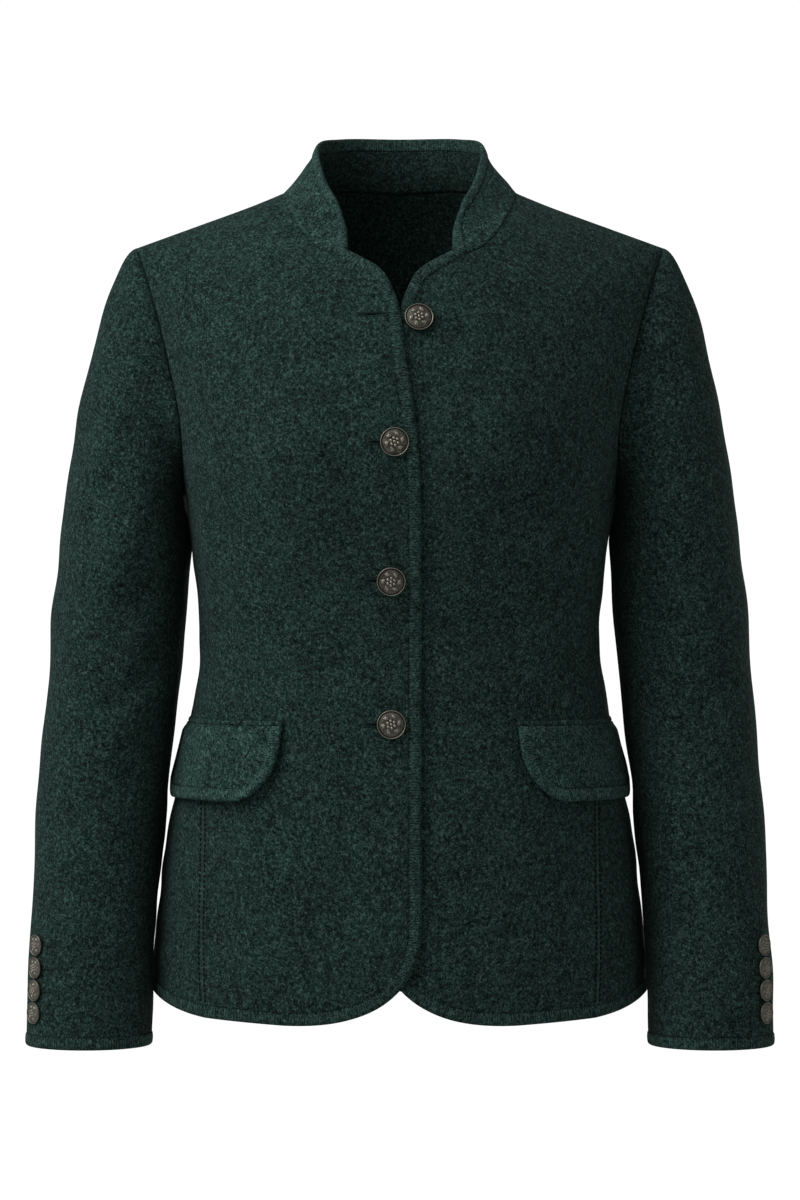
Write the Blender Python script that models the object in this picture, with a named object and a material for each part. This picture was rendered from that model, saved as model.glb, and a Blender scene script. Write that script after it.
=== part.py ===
"""A women's tyrolean jacket of boiled wool, filled out as when it is worn.

Z is up, the wearer faces -Y and the wearer's left is +X. The origin lies between the two neck points, at the height of
the shoulder ridge. Sizes and tables are in millimetres, and every mesh is made in metres.

The body's outer surface is one function of a chart (girth, level). Girth is an angle round one side of the body: 0 at
the centre front, 90 degrees at the side and 180 at the centre back. Level runs from -1 at the hem over 0 at the chest
to 1 on the shoulder ridge. Every piece of the body is a stretch of this chart, so neighbours share their seams.
"""

import math

import bmesh
import bpy
import numpy as np
from mathutils import Matrix, Vector

MM = 0.001

# The cloth, the band that edges it, and how pieces meet. Near the centre front one front laps over the other.
CLOTH = 2.2
SEAM_GAP = 0.3
BAND_WIDTH, BAND_ROUND, BAND_RISE = 8.5, 1.4, 0.5
LAP, LAP_NEAR, LAP_FAR = 2.0, 13.0, 36.0

# Sections of the body from the hem up to the chest.
TORSO_COLUMNS = ("height", "half_width", "front_depth", "back_depth")
TORSO_ROWS = (
    (-590, 180, 130, 127),  # hem
    (-520, 175, 125, 121),  # low hip
    (-460, 167, 119, 114),  # hip
    (-420, 160, 115, 108),  # pocket
    (-376, 151, 111, 101),  # top of the pocket
    (-325, 144, 108, 95),  # waist
    (-263, 148, 117, 100),  # ribs
    (-215, 154, 126, 106),  # underarm
    (-190, 158, 128, 108),  # chest
)
FULLNESS = 2.3
CHEST = -190.0
HEM_FRONT, HEM_BACK, HEM_SIDE, HEM_SWEEP = -582.0, -586.0, -566.0, 6
BUST_RISE, BUST_ACROSS, BUST_HEIGHT = 6.0, 80.0, -188.0
BUST_SPREAD, BUST_FALL = 45.0, 55.0

# The shoulders: the half width grows with the rise over the chest, and the depth closes towards the ridge.
SPREAD, SPREAD_CURVE = 28.0, 12.0
LEVEL_POWER = 1.6
FRONT_CLOSING, BACK_CLOSING = (1.6, 0.625), (2.8, 0.5)
TIP_ACROSS, TIP_HEIGHT, SHOULDER_SLOPE = 189.0, -36.5, 0.36
NECK_RISE, NECK_REACH, NAPE_RISE, NAPE_END = 15.0, 120.0, 14.5, 6

# The armhole on the chart: half its angle, the level of its lowest point, and where its sides become straight.
ARMHOLE_HALF, ARMHOLE_FULLNESS = math.radians(18), 2.2
ARMHOLE_BOTTOM, ARMHOLE_STRAIGHT = -0.058, 0.165

# The seams between the side panel and the front and back, as degrees of girth. They end at the armhole.
SIDE_SEAM_COLUMNS = ("level", "front", "back")
SIDE_SEAM_ROWS = (
    (-1.0, 46.7, 131),  # hem
    (-0.62, 56.3, 122),  # pocket
    (-0.47, 65, 116),
    (-0.345, 71.5, 111),  # waist
    (-0.19, 72.5, 107),  # ribs
    (0.0, 77.05, 102.95),  # armhole
)

# The neckline in plan, and the front's edge as distances across and down from the notch where it meets the collar.
NECK_ACROSS, NECK_BACK, NECK_FRONT, NOTCH_ACROSS = 84.0, 66.0, 79.0, 37.0
LAPEL_ROWS = (
    (0, 0),  # notch
    (9, 5),
    (24, 15),
    (34, 34),
    (41, 76),  # undone buttonhole
    (47, 115),
    (51, 160),
    (52, 210),  # straight from here
)
CORNER_WIDTH, CORNER_HEIGHT, CORNER_FULLNESS = 95.0, 73.0, 2.5
NOTCH_BLEND, LAPEL_TURN = 16.0, 36.0

# The collar: its free edge from the front end to the centre back, and its nominal size laid flat.
COLLAR_COLUMNS = ("along", "across", "depth", "height")
COLLAR_ROWS = (
    (0.0, 41, -57, -14),  # front end
    (0.25, 54, -32, 10),
    (0.5, 59.5, 5, 38.5),  # above the neck point
    (0.75, 43, 44, 47.5),
    (1.0, 0, 59, 49),  # centre back
)
COLLAR_HEIGHT, COLLAR_LENGTH, COLLAR_CORNER, COLLAR_BOW, COLLAR_MITRE = 37.0, 200.0, 20.0, 3.0, 0.7

# Sections of the sleeve from the cuff up: its middle and its half size, across and front to back.
SLEEVE_COLUMNS = ("height", "across", "half_width", "depth", "half_depth")
SLEEVE_ROWS = (
    (-603, 219.3, 44.0, -52, 38),  # cuff
    (-570, 218.7, 44.5, -46, 39),
    (-504, 217, 45, -29, 43),
    (-430, 213, 46.5, -12, 49),  # forearm
    (-375, 208.3, 47, -3, 53),  # elbow
    (-290, 200.5, 47.9, 4, 57),
    (-250, 198, 47, 6, 59),  # below the armhole
)
CAP_END = -250.0
CAP_STEPS = (0, 0.07, 0.16, 0.28, 0.44, 0.62, 0.81, 1)
CAP_ACROSS, CAP_BULGE, CAP_DROP, CAP_GAP = (41, 27), 22.0, (-8, -9), 0.4
CAP_SEAM, CUFF_TWIST = 160.0, math.radians(70)

# The pockets: a flap with rounded lower corners under a narrow welt.
FLAP_TOP, FLAP_FRONT, FLAP_LENGTH, FLAP_HEIGHT = -377.5, 81.0, 134.0, 53.0
FLAP_CORNER_WIDTH, FLAP_CORNER_HEIGHT = 30.0, 38.0
FLAP_GAP, FLAP_FLARE = 0.7, 1.6
WELT_HEIGHT, WELT_THICKNESS, WELT_GAP = 4.0, 1.4, 1.0

# The buttons: places are distance across and height, seen from the front. Heights in the profile are per diameter.
FRONT_BUTTON, CUFF_BUTTON = 20.0, 15.0
BUTTON_PROFILE = ((0.9, 0), (1, 0.04), (1, 0.08), (0.92, 0.105), (0.82, 0.09), (0.5, 0.14), (0, 0.16))
UNDONE_BUTTON = (12.7, -96.4)
FASTENED_BUTTONS = ((-3.7, -182.2), (-6.0, -277.0), (-5.9, -375.8))
STEM_RADIUS, STEM_LENGTH, CUFF_STEM, BUTTON_GAP = 0.6, 2.6, 0.8, 0.6
TOP_HOLE, HOLE_SHIFT = (-19.0, -93.0), 8.0
HOLE_LENGTH, HOLE_WIDTH, HOLE_DEPTH = 21.0, 1.8, 12.0
CUFF_BUTTON_ANGLE = math.radians(35)
CUFF_BUTTON_LOWEST, CUFF_BUTTON_PITCH, CUFF_BUTTON_COUNT = -579.0, 15.5, 4

# How finely the pieces are divided.
EDGE_SAMPLES, NECK_ROUNDS, TINY = 120, 40, 1e-6
SEAM_DIVISIONS, ARMHOLE_DIVISIONS, SIDE_DIVISIONS = 11, 7, 6
LAPEL_COLUMNS, FRONT_NECK_COLUMNS, BACK_NECK_COLUMNS, SHOULDER_COLUMNS, COLLAR_TURNS = 2, 6, 5, 5, 4
HIND_SEAM, SLEEVE_ROWS_DOWN = 10, 7
FLAP_TURNS, FLAP_MIDDLES, FLAP_ROWS, WELT_COLUMNS = 3, 5, 3, 6
BUTTON_STEPS, CUFF_BUTTON_STEPS, MERGE_DISTANCE = 20, 12, 1e-6

CLOTH_COLOUR, BAND_COLOUR, METAL_COLOUR = (0.013, 0.029, 0.025), (0.018, 0.036, 0.031), (0.30, 0.26, 0.22)


def table(columns, rows):
    """The rows' numbers, by the name of their column."""
    return dict(zip(columns, np.array(rows, float).T))


TORSO = table(TORSO_COLUMNS, TORSO_ROWS)
SIDE_SEAM = table(SIDE_SEAM_COLUMNS, [(level, *np.radians(seams)) for level, *seams in SIDE_SEAM_ROWS])
COLLAR = table(COLLAR_COLUMNS, COLLAR_ROWS)
SLEEVE = table(SLEEVE_COLUMNS, SLEEVE_ROWS)


def smooth(at, knots, values):
    """A cubic through the values at the knots, with slopes taken from their neighbours, and held beyond both ends."""
    slopes = np.gradient(values, knots)
    at = np.clip(at, knots[0], knots[-1])
    k = np.clip(np.searchsorted(knots, at, side="right") - 1, 0, len(knots) - 2)
    span = knots[k + 1] - knots[k]
    t = (at - knots[k]) / span
    start = (1 + 2 * t) * (1 - t) ** 2 * values[k] + t * (1 - t) ** 2 * span * slopes[k]
    end = t**2 * (3 - 2 * t) * values[k + 1] - t**2 * (1 - t) * span * slopes[k + 1]
    return start + end


def signed_power(value, exponent):
    return np.sign(value) * np.abs(value) ** exponent


def unit(vectors):
    return vectors / np.linalg.norm(vectors, axis=-1, keepdims=True)


def lengths(points):
    """Distance along these points, from the first one."""
    steps = np.linalg.norm(np.diff(points, axis=0), axis=1)
    return np.concatenate([[0], np.cumsum(steps)])


def spread(points, count):
    """That many points at even distances along these ones."""
    along = lengths(points)
    at = np.linspace(0, along[-1], count)
    return np.stack([np.interp(at, along, column) for column in points.T], axis=1)


def curve(points, count):
    """That many points along a smooth curve through these ones."""
    points = np.array(points, float)
    along = lengths(points)
    at = np.linspace(0, along[-1], count)
    return np.stack([smooth(at, along, column) for column in points.T], axis=1)


def patch(bottom, top, start, end):
    """A grid between four edges (a Coons patch). Its rows follow the bottom and top edges, its columns the other two."""
    v = np.linspace(0, 1, len(start))[:, None, None]
    u = np.linspace(0, 1, len(bottom))[None, :, None]
    across = (1 - u) * start[:, None] + u * end[:, None]
    upward = (1 - v) * bottom[None] + v * top[None]
    corners = (1 - v) * ((1 - u) * bottom[0] + u * bottom[-1]) + v * ((1 - u) * top[0] + u * top[-1])
    return across + upward - corners


# --- The body's surface -----------------------------------------------------------------------------------------------


def ridge(across):
    """Height of the shoulder ridge. Inside the neckline it rises on towards the neck, and is only a guide there."""
    neck = np.clip(1 - np.abs(across) / NECK_REACH, 0, None) ** 2
    return TIP_HEIGHT + SHOULDER_SLOPE * (TIP_ACROSS - np.abs(across)) + NECK_RISE * neck


def nape(across):
    """How much higher than the ridge's guide the upper back lies: a low arch between the centre back and each neck
    point, which dies out sooner at the neck point."""
    share = np.clip(np.abs(across) / NECK_ACROSS, 0, 1)
    arch = 4 * share * (1 - share)
    return NAPE_RISE * arch * (1 - share**NAPE_END)


def hem(girth):
    """Height of the hem, which sweeps up to the sides."""
    middle = np.where(np.cos(girth) > 0, HEM_FRONT, HEM_BACK)
    return middle + (HEM_SIDE - middle) * np.sin(girth) ** HEM_SWEEP


def rise_of(level):
    """Share of the way from the chest up to the ridge. Levels crowd towards the ridge, where the cloth turns over."""
    return np.where(level > 0, 1 - (1 - np.clip(level, 0, 1)) ** LEVEL_POWER, level)


def level_of(rise):
    return np.where(rise > 0, 1 - (1 - np.clip(rise, 0, 1)) ** (1 / LEVEL_POWER), rise)


def half_width(height, high):
    return smooth(height, TORSO["height"], TORSO["half_width"]) + SPREAD * high + SPREAD_CURVE * high**2


def closing(high, powers):
    """Share of the chest's depth that is left at this rise: all of it at the chest, none on the ridge."""
    return np.clip(1 - high ** powers[0], 0, 1) ** powers[1]


def skin(girth, level):
    """Points of the body's outer surface on the wearer's left: rounded oval sections up to the chest, and above it
    columns that fan out and lean in to the shoulder ridge."""
    rise = rise_of(level)
    low, high = np.minimum(rise, 0), np.maximum(rise, 0)
    height = CHEST + low * (CHEST - hem(girth))
    across = half_width(height, high) * signed_power(np.sin(girth), 2 / FULLNESS)
    front = -smooth(height, TORSO["height"], TORSO["front_depth"]) * closing(high, FRONT_CLOSING)
    back = smooth(height, TORSO["height"], TORSO["back_depth"]) * closing(high, BACK_CLOSING)
    facing = np.cos(girth)
    depth = np.where(facing > 0, front, back) * np.abs(facing) ** (2 / FULLNESS)
    height = height + (ridge(across) + np.where(facing < 0, nape(across), 0) - CHEST) * high
    bust = np.exp(-(((np.abs(across) - BUST_ACROSS) / BUST_SPREAD) ** 2) - ((height - BUST_HEIGHT) / BUST_FALL) ** 2)
    return np.stack([across, depth - BUST_RISE * bust * np.clip(facing, 0, 1), height], axis=-1)


def body(side, chart, lift=0.0, lap=0.0):
    """Points of the chart on one side, moved out of the cloth's surface by lift. Near the centre front, a positive lap
    moves them forward onto the other front and a negative one back under it."""
    girth, level = chart[..., 0], chart[..., 1]
    step = 1e-3
    around = skin(girth + step, level) - skin(girth - step, level)
    upward = skin(girth, np.minimum(level + step, 1)) - skin(girth, np.maximum(level - step, -1))
    normal = unit(np.cross(around, upward))
    points = skin(girth, level) + normal * np.asarray(lift)[..., None]
    near = np.clip((LAP_FAR - points[..., 0]) / (LAP_FAR - LAP_NEAR), 0, 1) * (np.cos(girth) > 0)
    points[..., 1] -= lap * near**2 * (3 - 2 * near)
    return points * (side, 1, 1)


def from_front(across, height):
    """The chart's place of the points of the front that are seen here from the front."""
    high = np.clip((height - CHEST) / (ridge(across) - CHEST), 0, 1)
    girth = np.arcsin(np.clip(signed_power(across / half_width(height, high), FULLNESS / 2), -1, 1))
    level = np.where(height > CHEST, level_of(high), (height - CHEST) / (CHEST - hem(girth)))
    return np.stack([girth, level], axis=-1)


def from_plan(across, depth):
    """The chart's place of the points of the upper body that lie here in plan, closed in on in rounds."""
    is_front = depth < 0
    powers = np.where(is_front, np.array([FRONT_CLOSING]).T, np.array([BACK_CLOSING]).T)
    chest = np.where(is_front, TORSO["front_depth"][-1], TORSO["back_depth"][-1])
    rise = np.full(np.shape(across), 0.8)
    for _ in range(NECK_ROUNDS):
        girth = np.arcsin(signed_power(across / half_width(CHEST, rise), FULLNESS / 2))
        share = np.abs(depth) / (chest * np.cos(girth) ** (2 / FULLNESS))
        rise = (1 - share ** (1 / powers[1])) ** (1 / powers[0])
    return np.stack([np.where(is_front, girth, np.pi - girth), level_of(rise)], axis=-1)


def armhole_angle(level):
    """Half the armhole's angle at this level: nothing at its lowest point, and straight sides from higher up."""
    share = np.clip((ARMHOLE_STRAIGHT - level) / (ARMHOLE_STRAIGHT - ARMHOLE_BOTTOM), 0, 1)
    return ARMHOLE_HALF * (1 - share**ARMHOLE_FULLNESS) ** (1 / ARMHOLE_FULLNESS)


def armhole_level(girth):
    """Level of the armhole's lower edge at this girth."""
    share = np.abs(girth - np.pi / 2) / ARMHOLE_HALF
    drop = (ARMHOLE_STRAIGHT - ARMHOLE_BOTTOM) * (1 - share**ARMHOLE_FULLNESS) ** (1 / ARMHOLE_FULLNESS)
    return ARMHOLE_STRAIGHT - drop


# --- Edges that pieces share ------------------------------------------------------------------------------------------


def neckline():
    """The neckline on the chart, from the notch to the neck point and from there to the centre back."""
    turn = np.linspace(0, math.pi / 2, EDGE_SAMPLES)
    front = from_plan(NOTCH_ACROSS + (NECK_ACROSS - NOTCH_ACROSS) * np.sin(turn), -NECK_FRONT * np.cos(turn) - TINY)
    back = from_plan(NECK_ACROSS * np.cos(turn), NECK_BACK * np.sin(turn))
    return front, back


NECK_CHARTS = neckline()
NECK_POINTS = body(1, np.concatenate(NECK_CHARTS))
NECK_ALONG = lengths(NECK_POINTS) / lengths(NECK_POINTS)[-1]
NECK_POINT = NECK_ALONG[EDGE_SAMPLES]


def neck_chart(along, half):
    """The chart's place of these shares of the neckline, on its front half (0) or its back half (1)."""
    run = slice(half * EDGE_SAMPLES, (half + 1) * EDGE_SAMPLES)
    return np.stack([np.interp(along, NECK_ALONG[run], column) for column in NECK_CHARTS[half].T], axis=-1)


NOTCH_CUT = (BAND_WIDTH + SEAM_GAP) / COLLAR_LENGTH
FRONT_NECK = np.linspace(NOTCH_CUT, NECK_POINT, FRONT_NECK_COLUMNS + 1)
BACK_NECK = np.linspace(NECK_POINT, 1, BACK_NECK_COLUMNS + 1)


def front_edge():
    """The front's free edge seen from the front, from the notch to the side seam, the directions into the cloth from
    each of its points, and how far along it are the middles of its upper and its lower corner."""
    notch = NECK_POINTS[0]
    lapel = np.array([notch[0], notch[2]]) - curve(LAPEL_ROWS, EDGE_SAMPLES)
    edge = lapel[-1][0]
    turn = np.linspace(0, math.pi / 2, EDGE_SAMPLES)
    corner_across = edge + CORNER_WIDTH * (1 - np.cos(turn) ** (2 / CORNER_FULLNESS))
    corner_up = CORNER_HEIGHT * (1 - np.sin(turn) ** (2 / CORNER_FULLNESS))
    across = np.append(corner_across, skin(SIDE_SEAM["front"][0], -1.0)[0])
    up = np.append(corner_up, 0)
    corner = np.stack([across, hem(from_front(across, HEM_FRONT)[:, 0]) + up], axis=1)
    points = np.concatenate([lapel, corner])
    middle = lengths(points)[EDGE_SAMPLES + EDGE_SAMPLES // 2] / lengths(points)[-1]
    turn = LAPEL_TURN / lengths(points)[-1]
    points = spread(points, 4 * EDGE_SAMPLES)
    ahead = unit(np.gradient(points, axis=0))
    into = np.stack([-ahead[:, 1], ahead[:, 0]], axis=1)
    inner = body(1, neck_chart(NOTCH_CUT, 0))
    seam = (np.array([inner[0], inner[2]]) - points[0]) / (BAND_WIDTH + SEAM_GAP)
    share = np.clip(1 - lengths(points) / NOTCH_BLEND, 0, 1)[:, None]
    return points, into + (seam - into) * share, turn, middle


EDGE_POINTS, EDGE_INTO, EDGE_TURN, EDGE_CORNER = front_edge()


def edge_chart(along, distance):
    """The chart's place of the points at these shares of the front's free edge, this far into the cloth."""
    shares = lengths(EDGE_POINTS) / lengths(EDGE_POINTS)[-1]
    inset = EDGE_POINTS + EDGE_INTO * distance
    across, height = (np.interp(along, shares, column) for column in inset.T)
    return from_front(across, height)


EDGE_TOP = np.linspace(EDGE_TURN, 0, LAPEL_COLUMNS + 1)
EDGE_SIDE = np.linspace(EDGE_CORNER, EDGE_TURN, SEAM_DIVISIONS + ARMHOLE_DIVISIONS + 1)
EDGE_BOTTOM = np.linspace(EDGE_CORNER, 1, LAPEL_COLUMNS + FRONT_NECK_COLUMNS + SHOULDER_COLUMNS + 1)


def hem_level(girth, distance):
    """Level of the line at this distance above the hem."""
    return -1 + distance / (CHEST - hem(girth))


def side_line(name, sign):
    """The line where front (or back) and side panel meet, then the armhole's edge up to the shoulder tip."""
    lowest = hem_level(SIDE_SEAM[name][0], BAND_WIDTH + SEAM_GAP)
    seam = np.linspace(lowest, 0, SEAM_DIVISIONS + 1)
    armhole = np.linspace(0, 1, ARMHOLE_DIVISIONS + 1)[1:]
    seam_girth = smooth(seam, SIDE_SEAM["level"], SIDE_SEAM[name])
    armhole_girth = math.pi / 2 + sign * armhole_angle(armhole)
    return np.stack([np.append(seam_girth, armhole_girth), np.append(seam, armhole)], axis=1)


def shoulder_line(neck_girth, tip_girth):
    girth = np.linspace(neck_girth, tip_girth, SHOULDER_COLUMNS + 1)
    return np.stack([girth, np.ones_like(girth)], axis=1)


# --- Solids -----------------------------------------------------------------------------------------------------------


def make_object(name, points, faces, material):
    """An object from points in millimetres and faces, with its faces turned outward."""
    mesh = bpy.data.meshes.new(name)
    mesh.from_pydata((np.asarray(points) * MM).tolist(), [], faces)
    shape = bmesh.new()
    shape.from_mesh(mesh)
    if shape.calc_volume(signed=True) < 0:
        bmesh.ops.reverse_faces(shape, faces=shape.faces)
    shape.to_mesh(mesh)
    shape.free()
    mesh.materials.append(material)
    made = bpy.data.objects.new(name, mesh)
    bpy.context.scene.collection.objects.link(made)
    return made


def inset(grid):
    """The grid with its border drawn in by half the seam gap."""
    grid = grid.copy()
    for border, neighbour in ((0, 1), (-1, -2)):
        grid[border] += unit(grid[neighbour] - grid[border]) * SEAM_GAP / 2
        grid[:, border] += unit(grid[:, neighbour] - grid[:, border]) * SEAM_GAP / 2
    return grid


def slab(name, outer, inner, material):
    """A wall between two grids of points, closed round its border. The border's faces start from the same corner on both
    sides of a seam, so that neighbours are divided alike."""
    rows, columns = outer.shape[:2]
    index = np.arange(rows * columns).reshape(rows, columns)
    other = index + rows * columns
    quads = [
        np.stack([index[:-1, :-1], index[:-1, 1:], index[1:, 1:], index[1:, :-1]], -1).reshape(-1, 4),
        np.stack([other[:-1, :-1], other[1:, :-1], other[1:, 1:], other[:-1, 1:]], -1).reshape(-1, 4),
    ]
    loop = np.concatenate([index[0, :-1], index[:-1, -1], index[-1, :0:-1], index[:0:-1, 0]])
    after = np.roll(loop, -1)
    walls = np.stack([after, loop, loop + rows * columns, after + rows * columns], -1)
    rising = rows + columns - 2
    walls[:rising] = np.roll(walls[:rising], -1, axis=1)
    quads.append(walls)
    points = np.concatenate([outer.reshape(-1, 3), inner.reshape(-1, 3)])
    return make_object(name, points, np.concatenate(quads).tolist(), material)


def strip(name, sections, material, closed=False):
    """A bar through these sections, each a closed loop of points, with flat ends or joined into a ring."""
    count, corners = sections.shape[:2]
    index = np.arange(count * corners).reshape(count, corners)
    start, end = (index, np.roll(index, -1, axis=0)) if closed else (index[:-1], index[1:])
    quads = np.stack([start, np.roll(start, -1, 1), np.roll(end, -1, 1), end], -1).reshape(-1, 4)
    faces = quads.tolist()
    if not closed:
        faces += [index[0, ::-1].tolist(), index[-1].tolist()]
    return make_object(name, sections.reshape(-1, 3), faces, material)


def material(name, colour, roughness, metallic=0.0):
    made = bpy.data.materials.new(name)
    made.use_nodes = True
    shader = made.node_tree.nodes["Principled BSDF"]
    shader.inputs["Base Color"].default_value = (*colour, 1)
    shader.inputs["Roughness"].default_value = roughness
    shader.inputs["Metallic"].default_value = metallic
    return made


def panel(name, side, chart, cloth, lap=0.0):
    """One cut piece of the body: a stretch of the chart, one cloth thick."""
    outer = inset(body(side, chart, 0, lap))
    return slab(name, outer, inset(body(side, chart, -CLOTH, lap)), cloth)


def band_profile():
    """The band's section: distances into the cloth and lifts over its outer face, thicker than it on both faces."""
    top, bottom = BAND_RISE, -CLOTH - BAND_RISE
    middle = (top + bottom) / 2
    return np.array(
        [(BAND_WIDTH, top), (BAND_ROUND, top), (0, middle), (BAND_ROUND, bottom), (BAND_WIDTH, bottom)]
    )


# --- Pieces -----------------------------------------------------------------------------------------------------------


def fronts(cloth):
    """Both fronts. The wearer's right one laps over the left one and has the buttonholes."""
    edge = edge_chart(EDGE_SIDE, BAND_WIDTH + SEAM_GAP)
    bottom = edge_chart(EDGE_BOTTOM, BAND_WIDTH + SEAM_GAP)
    outer = side_line("front", -1)
    neck = neck_chart(FRONT_NECK, 0)
    lapel = edge_chart(EDGE_TOP, BAND_WIDTH + SEAM_GAP)
    top = np.concatenate([lapel[:-1], neck, shoulder_line(neck[-1][0], outer[-1][0])[1:]])
    bottom[-1] = outer[0]
    chart = patch(bottom, top, edge, outer)
    right = panel("front_right", -1, chart, cloth, LAP)
    panel("front_left", 1, chart, cloth, -LAP)
    return right


def buttonholes(front):
    """Cuts the buttonholes through the front: one for the undone button and one at each fastened button."""
    shape = bmesh.new()
    places = [TOP_HOLE] + [(across - HOLE_SHIFT, height) for across, height in FASTENED_BUTTONS]
    size = Vector((HOLE_LENGTH, HOLE_DEPTH, HOLE_WIDTH)) * MM
    for across, height in places:
        point, out = surface_frame(-1, across, height, LAP)
        turn = Vector((0, -1, 0)).rotation_difference(Vector(out))
        bmesh.ops.create_cube(shape, size=1, matrix=Matrix.LocRotScale(Vector(point) * MM, turn, size))
    mesh = bpy.data.meshes.new("buttonhole_cutter")
    shape.to_mesh(mesh)
    shape.free()
    cutter = bpy.data.objects.new("buttonhole_cutter", mesh)
    bpy.context.scene.collection.objects.link(cutter)
    cutter.hide_render = True
    cutter.display_type = "WIRE"
    cutting = front.modifiers.new("buttonholes", "BOOLEAN")
    cutting.operation = "DIFFERENCE"
    cutting.object = cutter


def side_panels(cloth):
    front, back = side_line("front", -1), side_line("back", 1)
    front, back = front[: SEAM_DIVISIONS + 1], back[: SEAM_DIVISIONS + 1]
    girth = np.linspace(front[0][0], back[0][0], SIDE_DIVISIONS + 1)
    bottom = np.stack([girth, hem_level(girth, BAND_WIDTH + SEAM_GAP)], axis=1)
    girth = np.linspace(front[-1][0], back[-1][0], SIDE_DIVISIONS + 1)
    top = np.stack([girth, armhole_level(girth)], axis=1)
    front[0], back[0], front[-1], back[-1] = bottom[0], bottom[-1], top[0], top[-1]
    chart = patch(bottom, top, front, back)
    panel("side_panel_right", -1, chart, cloth)
    panel("side_panel_left", 1, chart, cloth)


def back_panel(cloth):
    """The back, cut in one piece from side seam to side seam."""
    outer = side_line("back", 1)
    girth = np.linspace(outer[0][0], math.pi, SHOULDER_COLUMNS + BACK_NECK_COLUMNS + 1)
    bottom = np.stack([girth, hem_level(girth, BAND_WIDTH + SEAM_GAP)], axis=1)
    neck = neck_chart(BACK_NECK, 1)
    top = np.concatenate([shoulder_line(outer[-1][0], neck[0][0])[:-1], neck])
    level = np.linspace(bottom[-1][1], top[-1][1], len(outer))
    centre = np.stack([np.full_like(level, math.pi), level], axis=1)
    bottom[0] = outer[0]
    chart = patch(bottom, top, outer, centre)
    halves = []
    for lift in (0, -CLOTH):
        left, right = body(1, chart, lift), body(-1, chart, lift)
        halves.append(inset(np.concatenate([left, right[:, -2::-1]], axis=1)))
    slab("back", *halves, cloth)


def collar(along, up, lift=0.0):
    """Points of the collar's outer surface: along from the front end to the centre back, up from the neckline."""

    def surface(along, up):
        base = np.stack([np.interp(along, NECK_ALONG, column) for column in NECK_POINTS.T], axis=-1)
        free = np.stack([smooth(along, COLLAR["along"], COLLAR[name]) for name in COLLAR_COLUMNS[1:]], axis=-1)
        points = base + (free - base) * up[..., None]
        bow = COLLAR_BOW * 4 * up * (1 - up)
        points[..., :2] *= (1 - bow / np.linalg.norm(points[..., :2], axis=-1))[..., None]
        return points

    step = 1e-3
    around = surface(np.minimum(along + step, 1), up) - surface(np.maximum(along - step, 0), up)
    upward = surface(along, up + step) - surface(along, up - step)
    return surface(along, up) + unit(np.cross(around, upward)) * np.asarray(lift)[..., None]


def collar_edge(distance):
    """The collar's free edge as (along, up) shares, from the front end's foot round its corner to the centre back, at
    this distance into the cloth."""
    turn = np.linspace(0, math.pi / 2, COLLAR_TURNS + 1)
    radius = COLLAR_CORNER - distance
    along = COLLAR_CORNER - radius * np.cos(turn)
    up = COLLAR_HEIGHT - COLLAR_CORNER + radius * np.sin(turn)
    rest = np.append(FRONT_NECK[COLLAR_TURNS // 2 + 1 :], BACK_NECK[1:]) * COLLAR_LENGTH
    along = np.concatenate([[distance], along, rest])
    up = np.concatenate([[0], up, np.full(len(along) - len(up) - 1, COLLAR_HEIGHT - distance)])
    return np.stack([along / COLLAR_LENGTH, up / COLLAR_HEIGHT], axis=1)


def collar_foot(lift):
    """How far up the foot of the collar starts at this lift: its inner face clears the thickness of the fronts."""
    return COLLAR_MITRE * max(-lift, 0) / COLLAR_HEIGHT


def mirrored(half):
    """The half from the front end to the centre back, with the other side's half after it. The left side comes first."""
    return np.concatenate([half, half[-2::-1] * (-1, 1, 1)], axis=0)


def stand_collar(cloth, band_cloth):
    """The stand collar in one piece, and the band along its free edge and both its ends."""
    edge = collar_edge(BAND_WIDTH + SEAM_GAP)
    middle = COLLAR_TURNS // 2 + 1
    base = np.append(FRONT_NECK, BACK_NECK[1:])
    foot = np.stack([base, np.zeros_like(base)], axis=1)
    top = edge[middle:]
    start = edge[: middle + 1]
    end = np.stack([np.ones(len(start)), np.linspace(0, top[-1][1], len(start))], axis=1)
    foot[0] = start[0]
    grid = patch(foot, top, start, end)
    walls = []
    for lift in (0, -CLOTH):
        up = grid[..., 1].copy()
        up[0] += collar_foot(lift)
        half = collar(grid[..., 0], up, lift)
        walls.append(inset(np.concatenate([half, half[:, -2::-1] * (-1, 1, 1)], axis=1)))
    slab("collar", *walls, cloth)
    sections = []
    for distance, lift in band_profile():
        edge = collar_edge(distance)
        edge[0, 1] += collar_foot(lift)
        sections.append(mirrored(collar(edge[:, 0], edge[:, 1], lift)))
    strip("collar_band", inset_ends(np.stack(sections, axis=1)), band_cloth)


def inset_ends(sections):
    """The sections with the first and the last drawn in by half the seam gap."""
    sections = sections.copy()
    for border, neighbour in ((0, 1), (-1, -2)):
        sections[border] += unit(sections[neighbour] - sections[border]) * SEAM_GAP / 2
    return sections


def front_bands(band_cloth):
    """The band of each front, from the notch down the edge, round the corner and along the hem to the side seam."""
    along = np.concatenate([EDGE_TOP[::-1], EDGE_SIDE[-2::-1], EDGE_BOTTOM[1:]])
    for name, side, lap in (("front_band_right", -1, LAP), ("front_band_left", 1, -LAP)):
        lines = [body(side, edge_chart(along, distance), lift, lap) for distance, lift in band_profile()]
        strip(name, inset_ends(np.stack(lines, axis=1)), band_cloth)


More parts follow.
